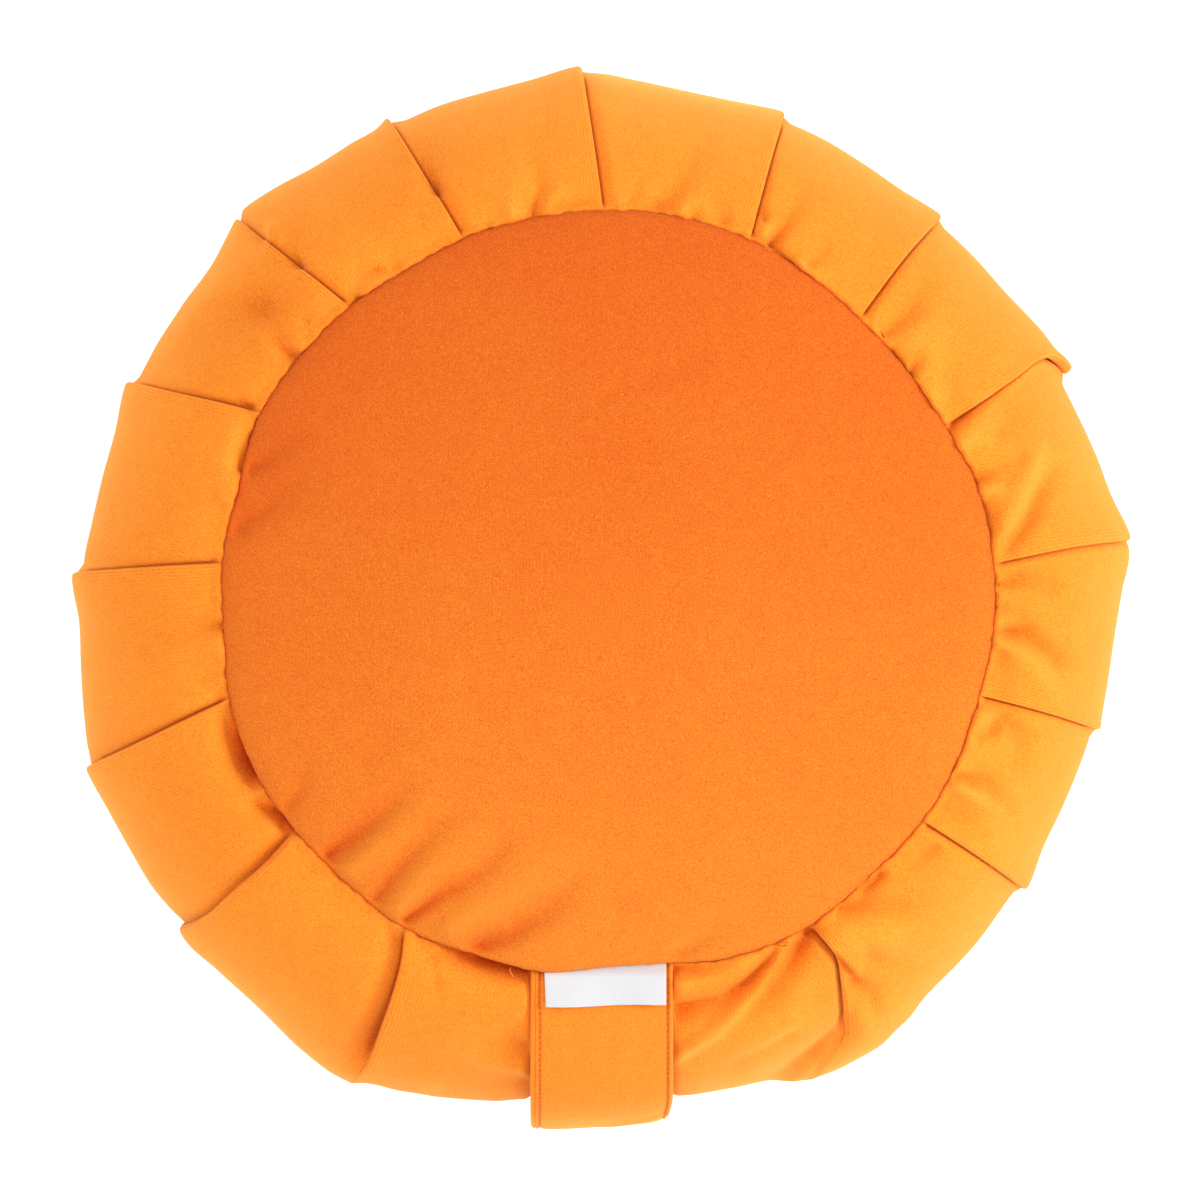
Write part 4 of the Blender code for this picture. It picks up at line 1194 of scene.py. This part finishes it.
@dataclass(frozen=True)
class TopPanel(RoundPanel):
    """The domed top, with the drag lines of its seam."""

    roll: float = 1.8 * MM  # height gained as it rolls out of the seam
    roll_length: float = 4.0 * MM
    turn_down: float = 0.5 * MM  # radius of its edge
    dome_power: float = 2.2
    pull: float = 0.35 * MM  # how much the seam's stitches draw it down
    pull_length: float = 2.2 * MM
    crease_shading: float = 150.0  # painted shading: how much lighter it is for each metre that a crease rises, and darker where it sinks
    # painted shade along the seam, where the stitching also crushes the pile
    seam_shade_and_crush: float = 0.4
    seam_shade_and_crush_width: float = 0.5 * MM

    def face(self, share: np.ndarray, x: np.ndarray, y: np.ndarray) -> tuple[np.ndarray, np.ndarray]:
        """Height of the upper face, and its painted shading.

        It is a dome that falls with a power of the radius, plus a quick roll out of the seam, plus the
        creases, and over the last stretch it turns down into the seam in a quarter circle.
        """
        edge = FORM.top_ledge + FORM.gap + FORM.cloth
        inwards = (1 - share) * PLEATS[0].seam * MM
        roll = self.roll * (1 - np.exp(-inwards / self.roll_length))
        dome = (FORM.crown - edge - self.roll) * (1 - share**self.dome_power)
        short = np.clip(1 - inwards / self.turn_down, 0, 1)
        height = edge + roll + dome - self.turn_down * (1 - np.sqrt(1 - short * short))
        seen = VIEW.as_seen(np.stack([x, y, height], axis=-1), FORM.top_ledge)
        creased = relief(TOP_CREASES, seen) * smooth((1 - share) / 0.03 + 0.2)
        pulled = FORM.stitch_pull(np.arctan2(y, x)) * np.exp(-inwards / self.pull_length) * self.pull
        # Painted shading: lighter where a crease rises, darker where it sinks, and darker along the seam.
        painted_shading = creased * self.crease_shading - self.seam_shade_and_crush * np.exp(-inwards / self.seam_shade_and_crush_width)
        return height + creased - pulled, painted_shading

    def build(self) -> bpy.types.Object:
        """Builds the panel in place of its solid."""
        share, x, y = self.flat_points()
        height, painted_shading = self.face(share, x, y)
        upper = np.stack([x, y, height], axis=-1)
        lower = upper.copy()
        under = FORM.top_ledge + FORM.gap
        lower[..., 2] = np.maximum(under, upper[..., 2] - FORM.cloth) - 0.02 * MM
        obj = self.join("top_velvet", upper, lower, painted_shading)
        hand_in(obj, Slot.PANEL, "top_panel")
        return obj


@dataclass(frozen=True)
class BasePanel(RoundPanel):
    """The round base: flat where it rests, drawn up to its seam."""

    rings: int = 60
    rest_share: float = 0.86

    def build(self) -> bpy.types.Object:
        """Builds the panel in place of its solid. Its lower face rises with level ends from the flat to the
        seam.
        """
        share, x, y = self.flat_points()
        edge = FORM.base_ledge - FORM.gap - FORM.cloth
        rise = edge * smooth((share - self.rest_share) / (1 - self.rest_share))
        lower = np.stack([x, y, rise], axis=-1)
        upper = np.stack([x, y, rise + FORM.cloth], axis=-1)
        obj = self.join("base_velvet", upper, lower, np.zeros_like(rise))
        hand_in(obj, Slot.PANEL, "base_panel")
        return obj


# ---------------------------------------------------------------- strap and label


@dataclass(frozen=True)
class StrapPath:
    """The strap's middle line, in the plane through the axis: a squared ellipse from seam to seam."""

    x: float = FORM.strap_x
    thick: float = 2.6 * MM
    reach: float = 177.0 * MM  # outer face at the widest line
    squareness: float = 2.5
    drop: float = 0.8 * MM  # its ends lie this far below the ledges' height
    tuck: float = 1.5 * MM  # and dip this much more under the panels' edges
    tuck_length: float = 4.0 * MM
    seam_reach: float = 121 * MM  # about where the top seam lies
    inside: float = 0.8 * MM  # it starts this far inside the seam line
    fine: int = 1200  # places that follow it closely

    def seam_at(self, x: np.ndarray) -> np.ndarray:
        """How far towards -Y the top seam lies at places along X."""
        radius = FORM.seam_radius(np.arctan2(-self.seam_reach, x))
        return np.sqrt(radius**2 - x**2)

    def at(self, turn: np.ndarray) -> tuple[np.ndarray, np.ndarray]:
        """Distance from the axis and height, for turns from 0 at the top seam to pi at the base seam."""
        start = self.seam_at(np.array(self.x)) - self.inside
        power = 2 / self.squareness
        out = np.abs(np.sin(turn)) ** power
        up = np.sign(np.cos(turn)) * np.abs(np.cos(turn)) ** power
        return start + (self.reach - self.thick / 2 - start) * out, FORM.middle + (FORM.half - self.drop) * up

    def stations(self, count: int) -> np.ndarray:
        """Even places along the path: rows of distance out, height, outward normal and distance walked."""
        out, up = self.at(np.linspace(0, math.pi, 4000))
        walked = np.concatenate([[0.0], np.cumsum(np.hypot(np.diff(out), np.diff(up)))])
        dip = self.tuck * (1 - smooth(np.minimum(walked, walked[-1] - walked) / self.tuck_length))
        up = up - dip * np.sign(walked[-1] / 2 - walked)
        even = np.linspace(0, walked[-1], count)
        out, up = np.interp(even, walked, out), np.interp(even, walked, up)
        d_out, d_up = np.gradient(out, even), np.gradient(up, even)
        length = np.hypot(d_out, d_up)
        return np.stack([out, up, -d_up / length, d_out / length, even], axis=-1)


@dataclass(frozen=True)
class CarryStrap:
    """The strap: cloth folded over and stitched along both edges, a slack loop from seam to seam."""

    material: bpy.types.Material
    path: StrapPath = StrapPath()
    width: float = 46.4 * MM
    spread: float = 1.0 * MM  # how much wider it is at the widest line
    stitch_left: float = 2.9 * MM  # from the left edge
    stitch_right: float = 1.7 * MM  # from the right edge
    groove: float = 0.75 * MM
    groove_half: float = 0.42 * MM
    edge_puff: float = 0.35 * MM
    ply_line: float = 1.5 * MM  # from the left edge, where the folded plies meet
    count: int = 200
    tilt: float = 1.6 * MM  # the left edge reaches further out than the right one by twice this
    corner: float = 1.6 * MM  # its corners fall back at the bend
    ridge: float = 0.6 * MM  # a soft ridge that slants over the bend
    pinch: float = 1.8 * MM  # its right edge draws in at the bend
    bend_highlight: float = 0.35  # painted highlight: how much lighter it is over the bend
    seam_reach: float = 18 * MM  # over which its rows turn from the top seam's line to straight across
    round_edge: float = 0.9 * MM  # radius of its long edges
    crown: float = 0.25 * MM  # how much thicker it is along the middle
    ply_depth: float = 0.3 * MM
    ply_width: float = 0.25 * MM
    stitch_zone: float = 1.2 * MM  # finer points up to this far inside a stitch line
    points_across: tuple[int, int, int, int] = (30, 44, 24, 26)  # left zone, middle, right zone, back

    def section(self) -> tuple[np.ndarray, np.ndarray, np.ndarray]:
        """One closed section, over the face and along the back: half widths across, metres out, and the
        painted shade.

        The face is level with a groove along each stitch line, a bell curve across, and a puffed roll
        outside it.
        """
        half = self.width / 2
        left, right = -half + self.stitch_left, half - self.stitch_right
        knots = (-half, left + self.stitch_zone, right - self.stitch_zone, half)
        *zones, behind = self.points_across
        spans = zip(knots, knots[1:], zones)
        x = np.concatenate([np.linspace(*ends, count, endpoint=ends[1] == half) for *ends, count in spans])
        grooves = sum(np.exp(-(((x - line) / self.groove_half) ** 2)) for line in (left, right))
        ply = np.exp(-(((x + half - self.ply_line) / self.ply_width) ** 2))
        puffs = smooth((left - x + 0.6 * MM) / (1.0 * MM)) + smooth((x - right + 0.6 * MM) / (1.0 * MM))
        over_edge = np.clip((np.abs(x) - half + self.round_edge) / self.round_edge, 0, 1)
        rounding = 1 - np.sqrt(np.clip(1 - over_edge**2, 0, 1))
        dents = self.groove * grooves + self.ply_depth * ply + self.round_edge * rounding
        middle = self.crown * np.cos(x / half * math.pi / 2)
        height = self.path.thick / 2 + middle - dents + self.edge_puff * puffs
        back = np.linspace(1, -1, behind)
        back_height = -self.path.thick / 2 + self.round_edge * smooth((np.abs(back) - 0.95) / 0.05)
        # painted shade in the stitch grooves and along the ply line
        painted_shading = np.concatenate([-0.5 * grooves - 0.3 * ply, np.zeros_like(back)])
        return np.concatenate([x / half, back]), np.concatenate([height, back_height]), painted_shading

    def surface(self) -> np.ndarray:
        """Points of the strap, stations by section."""
        across, height, _ = self.section()
        rows = self.path.stations(self.count)
        out, up, n_out, n_up, walked = (rows[:, k, None] for k in range(5))
        lift, x = self.shape(walked / walked[-1], across[None, :])
        lift = height[None, :] + lift
        out = out + self.seam_shift(x, walked)
        return np.stack(np.broadcast_arrays(x, -(out + lift * n_out), up + lift * n_up), axis=-1)

    def shape(self, share: np.ndarray, across: np.ndarray) -> tuple[np.ndarray, np.ndarray]:
        """The face's stand-off from the path, and x, at shares of its length and half widths across."""
        lean = np.sin(math.pi * np.clip(share, 0, 1)) ** 2
        fall = self.corner * lean * np.abs(across) ** 6 + self.tilt * lean * across
        ridge = np.exp(-(((share - 0.41 + 0.07 * across) / 0.014) ** 2)) * smooth((across + 0.2) / 0.5)
        pinch = self.pinch * smooth((lean - 0.55) / 0.4) * smooth((across - 0.6) / 0.4)
        return self.ridge * ridge - fall, self.path.x + across * (self.width + self.spread * lean) / 2 - pinch

    def seam_shift(self, x: np.ndarray, walked: np.ndarray) -> np.ndarray:
        """How much further out the rows start where the top seam lies further out than at the middle."""
        further = self.path.seam_at(x) - self.path.seam_at(np.array(self.path.x))
        return further * (1 - smooth(walked / self.seam_reach))

    def build(self) -> bpy.types.Object:
        """Carries the section along the path and closes both hidden ends."""
        points, faces = tube(self.surface(), reverse=True)
        length = self.path.stations(self.count)[-1, 4]
        # painted highlight over the bend
        bend_highlight = self.bend_highlight * np.exp(-(((np.linspace(0, 1, self.count) - 0.38) / 0.06) ** 2))
        painted_shading = np.append((self.section()[2][None, :] + bend_highlight[:, None]).ravel(), [0.0, 0.0])
        cloth_map = self.cloth_map(length, faces[1].size)
        obj = make_mesh_object("velvet_strap", points, faces, self.material, cloth_map, {"painted_shading": painted_shading})
        hand_in(obj, Slot.STRAP, "carry_strap")
        return obj

    def cloth_map(self, length: float, extra: int) -> np.ndarray:
        """Metres across and along the strap at each face corner, the last few left at 0."""
        across = self.section()[0]
        across = np.append(across, across[0]) * self.width / 2
        down = np.linspace(0, length, self.count)
        grid = np.stack(np.meshgrid(across, down, indexing="xy"), axis=-1).reshape(-1, 2)
        corners = grid_quads(self.count, len(across), wrap=False)[:, ::-1].ravel()
        return np.concatenate([grid[corners], np.zeros((extra, 2))])


@dataclass(frozen=True)
class Stitching:
    """A row of lockstitches along each edge of the strap's face, each a small sunk capsule of thread."""

    material: bpy.types.Material
    strap: CarryStrap
    pitch: float = 2.0 * MM
    length: float = 1.45 * MM
    thread: float = 0.24 * MM  # half thickness
    sunk: float = 0.40 * MM  # its middle below the strap's face
    arch: float = 0.10 * MM
    margin: float = 4 * MM  # without stitches at both ends
    steps: int = 6
    turns: int = 6
    end_quads: tuple[tuple[int, ...], ...] = ((5, 4, 1, 0), (4, 3, 2, 1))  # over the six points of a ring

    def row(self, across: float) -> np.ndarray:
        """Points of one row of stitches, at a place across the strap in half widths.

        A capsule is a ring swept along the strap, with a radius that falls to nothing at both ends.
        """
        line = self.strap.path.stations(self.strap.path.fine)
        total = line[-1, 4]
        along = np.linspace(0, 1, self.steps)
        starts = np.arange(self.margin, total - self.margin, self.pitch)
        place = starts[:, None] + along[None, :] * self.length
        out, up, n_out, n_up = (np.interp(place, line[:, 4], line[:, k])[..., None] for k in range(4))
        swell = self.thread * np.sqrt(np.clip(1 - (2 * along - 1) ** 4, 0.02, 1))[None, :, None]
        ring = np.linspace(0, 2 * math.pi, self.turns, endpoint=False)
        stand, x = self.strap.shape(place / total, np.array(across))
        arch = self.arch * np.sin(math.pi * along)
        lift = (self.strap.path.thick / 2 - self.sunk + stand + arch)[..., None] + swell * np.sin(ring)
        out = out + self.strap.seam_shift(x, place)[..., None]
        side = x[..., None] + swell * np.cos(ring)
        return np.stack([side, -(out + lift * n_out), up + lift * n_up], axis=-1)

    def build(self) -> bpy.types.Object:
        """Lays both rows. Each capsule is closed by two quads at either end."""
        half = self.strap.width / 2
        places = ((-half + self.strap.stitch_left) / half, (half - self.strap.stitch_right) / half)
        stitches = np.concatenate([self.row(across) for across in places])
        ends = np.array(self.end_quads)
        tails = ends[:, ::-1] + (self.steps - 1) * self.turns
        one = np.concatenate([grid_quads(self.steps, self.turns, wrap=True), ends, tails])
        firsts = np.arange(len(stitches)) * self.steps * self.turns
        quads = (firsts[:, None, None] + one[None]).reshape(-1, 4)
        obj = make_mesh_object("strap_stitches", stitches.reshape(-1, 3), (quads,), self.material)
        hand_in(obj, Slot.STRAP)
        return obj


@dataclass(frozen=True)
class LooseThread:
    """The end of a thread that stands out of the top seam on the strap's left."""

    material: bpy.types.Material
    way: tuple[tuple[float, float, float], ...] = (
        (-30.6, -120.4, 124.6), (-30.8, -121.3, 125.6), (-30.4, -122.3, 126.0), (-29.8, -123.4, 125.7),
    )
    thick: float = 0.35 * MM
    steps: int = 24
    turns: int = 8

    def build(self) -> bpy.types.Object:
        """Carries a ring along a smooth curve through the way's points, closed at both ends."""
        way = np.array(self.way) * MM
        at = np.linspace(0, len(way) - 1, self.steps)
        line = np.stack([eased_curve(at, np.arange(len(way)), way[:, k]) for k in range(3)], axis=-1)
        along = np.gradient(line, axis=0)
        along /= np.linalg.norm(along, axis=1, keepdims=True)
        side = np.cross(along, [0.0, 0.0, 1.0])
        side /= np.linalg.norm(side, axis=1, keepdims=True)
        up = np.cross(side, along)
        ring = np.linspace(0, 2 * math.pi, self.turns, endpoint=False)[None, :, None]
        rings = line[:, None] + self.thick / 2 * (np.cos(ring) * side[:, None] + np.sin(ring) * up[:, None])
        points, faces = tube(rings, reverse=True)
        obj = make_mesh_object("loose_thread", points, faces, self.material)
        hand_in(obj, Slot.SIDE)
        return obj


@dataclass(frozen=True)
class SewnLabel:
    """The white label, caught in the top seam over the strap, its folded end a little lifted. It is bare."""

    material: bpy.types.Material
    path: StrapPath = StrapPath()
    left: float = -19.4 * MM
    right: float = 20.1 * MM
    end: float = 133.3 * MM  # distance from the axis of its folded end, at the left
    end_slope: float = -0.8 * MM  # and how much less at the right
    thick: float = 0.8 * MM
    lift: float = 0.9 * MM  # of its folded end
    clear: float = 0.45 * MM  # between it and the strap at the seam
    inside: float = 0.6 * MM  # it starts this far inside the seam line
    wave: float = 0.35 * MM
    ripple: float = 0.25 * MM
    shear: float = 0.5 * MM  # how far its left edge slants
    end_wave: float = 0.2 * MM
    fold_radius: float = 0.2 * MM
    columns: int = 60
    rows: int = 26

    def middle(self) -> np.ndarray:
        """Points of its middle face, rows by columns: over the strap's path, waving, lifting to its end."""
        x = np.linspace(self.left, self.right, self.columns)[None, :]
        down = np.linspace(0, 1, self.rows)[:, None]
        start = self.path.seam_at(x) - self.inside
        span = (x - self.left) / (self.right - self.left)
        out = mix(start, self.end + self.end_slope * span + self.end_wave * np.sin(span * 7), down)
        line = self.path.stations(self.path.fine)[: self.path.fine // 3]
        height = np.interp(out, line[:, 0], line[:, 1])
        wave = self.wave * np.sin(span * 2 * math.pi * 1.15 + 0.6) * down
        wave = wave + self.ripple * np.sin(span * 9) * down
        lift = self.path.thick / 2 + self.clear + self.thick / 2 + self.lift * down**2 + wave
        return np.stack([x + self.shear * (down - 0.5) * (1 - span), -out, height + lift], axis=-1)

    def build(self) -> bpy.types.Object:
        """Gives the middle face its two sides and closes all four edges."""
        middle = self.middle()
        half = np.array([0, 0, self.thick / 2])
        points, quads = two_faced(middle + half, middle - half, reverse=True)
        obj = make_mesh_object("woven_label", points, (quads,), self.material)
        bevel = obj.modifiers.new("fold", "BEVEL")
        bevel.width = self.fold_radius
        bevel.segments = 2
        hand_in(obj, Slot.LABEL, "sewn_label")
        return obj


# ---------------------------------------------------------------- main


def main() -> None:
    """Builds the studio and the cushion's pieces in order."""
    logging.basicConfig(level=logging.INFO, format="%(name)s: %(message)s")
    Studio().set_up()
    VIEW.set_up()
    side_velvet = Velvet(
        Slot.SIDE,
        hollow_shade=(0.55, 0.042, 0.003),
        deep=(0.78, 0.155, 0.008),
        plain=(0.96, 0.265, 0.020),
        light=(1.0, 0.38, 0.04),
        # painted light: lighter towards +X, where the key light stands, with the nap's lean
        lean=(0.3, 0.1),
    ).make()
    # The side's velvet again in darker, redder colours: painted shade for the top's pile, seen end-on from
    # above.
    panel_velvet = Velvet(
        Slot.PANEL,
        hollow_shade=(0.55, 0.040, 0.003),
        deep=(0.66, 0.092, 0.008),
        plain=(0.76, 0.158, 0.013),
        light=(0.84, 0.25, 0.024),
        # painted light: lighter towards +X and -Y, with the nap's lean
        lean=(0.7, -2.6),
        grain=0.8,
        ribs=0.0,
    ).make()
    strap_velvet = Velvet(
        Slot.STRAP,
        hollow_shade=(0.50, 0.06, 0.003),
        deep=(0.78, 0.15, 0.008),
        plain=(0.94, 0.24, 0.018),
        light=(1.0, 0.34, 0.04),
    ).make()
    thread = Thread().make()
    satin = Satin().make()
    PleatedSide(side_velvet).build()
    TopPanel(panel_velvet).build()
    BasePanel(panel_velvet).build()
    strap = CarryStrap(strap_velvet)
    strap.build()
    Stitching(thread, strap).build()
    LooseThread(thread).build()
    SewnLabel(satin).build()


if __name__ == "__main__":
    main()
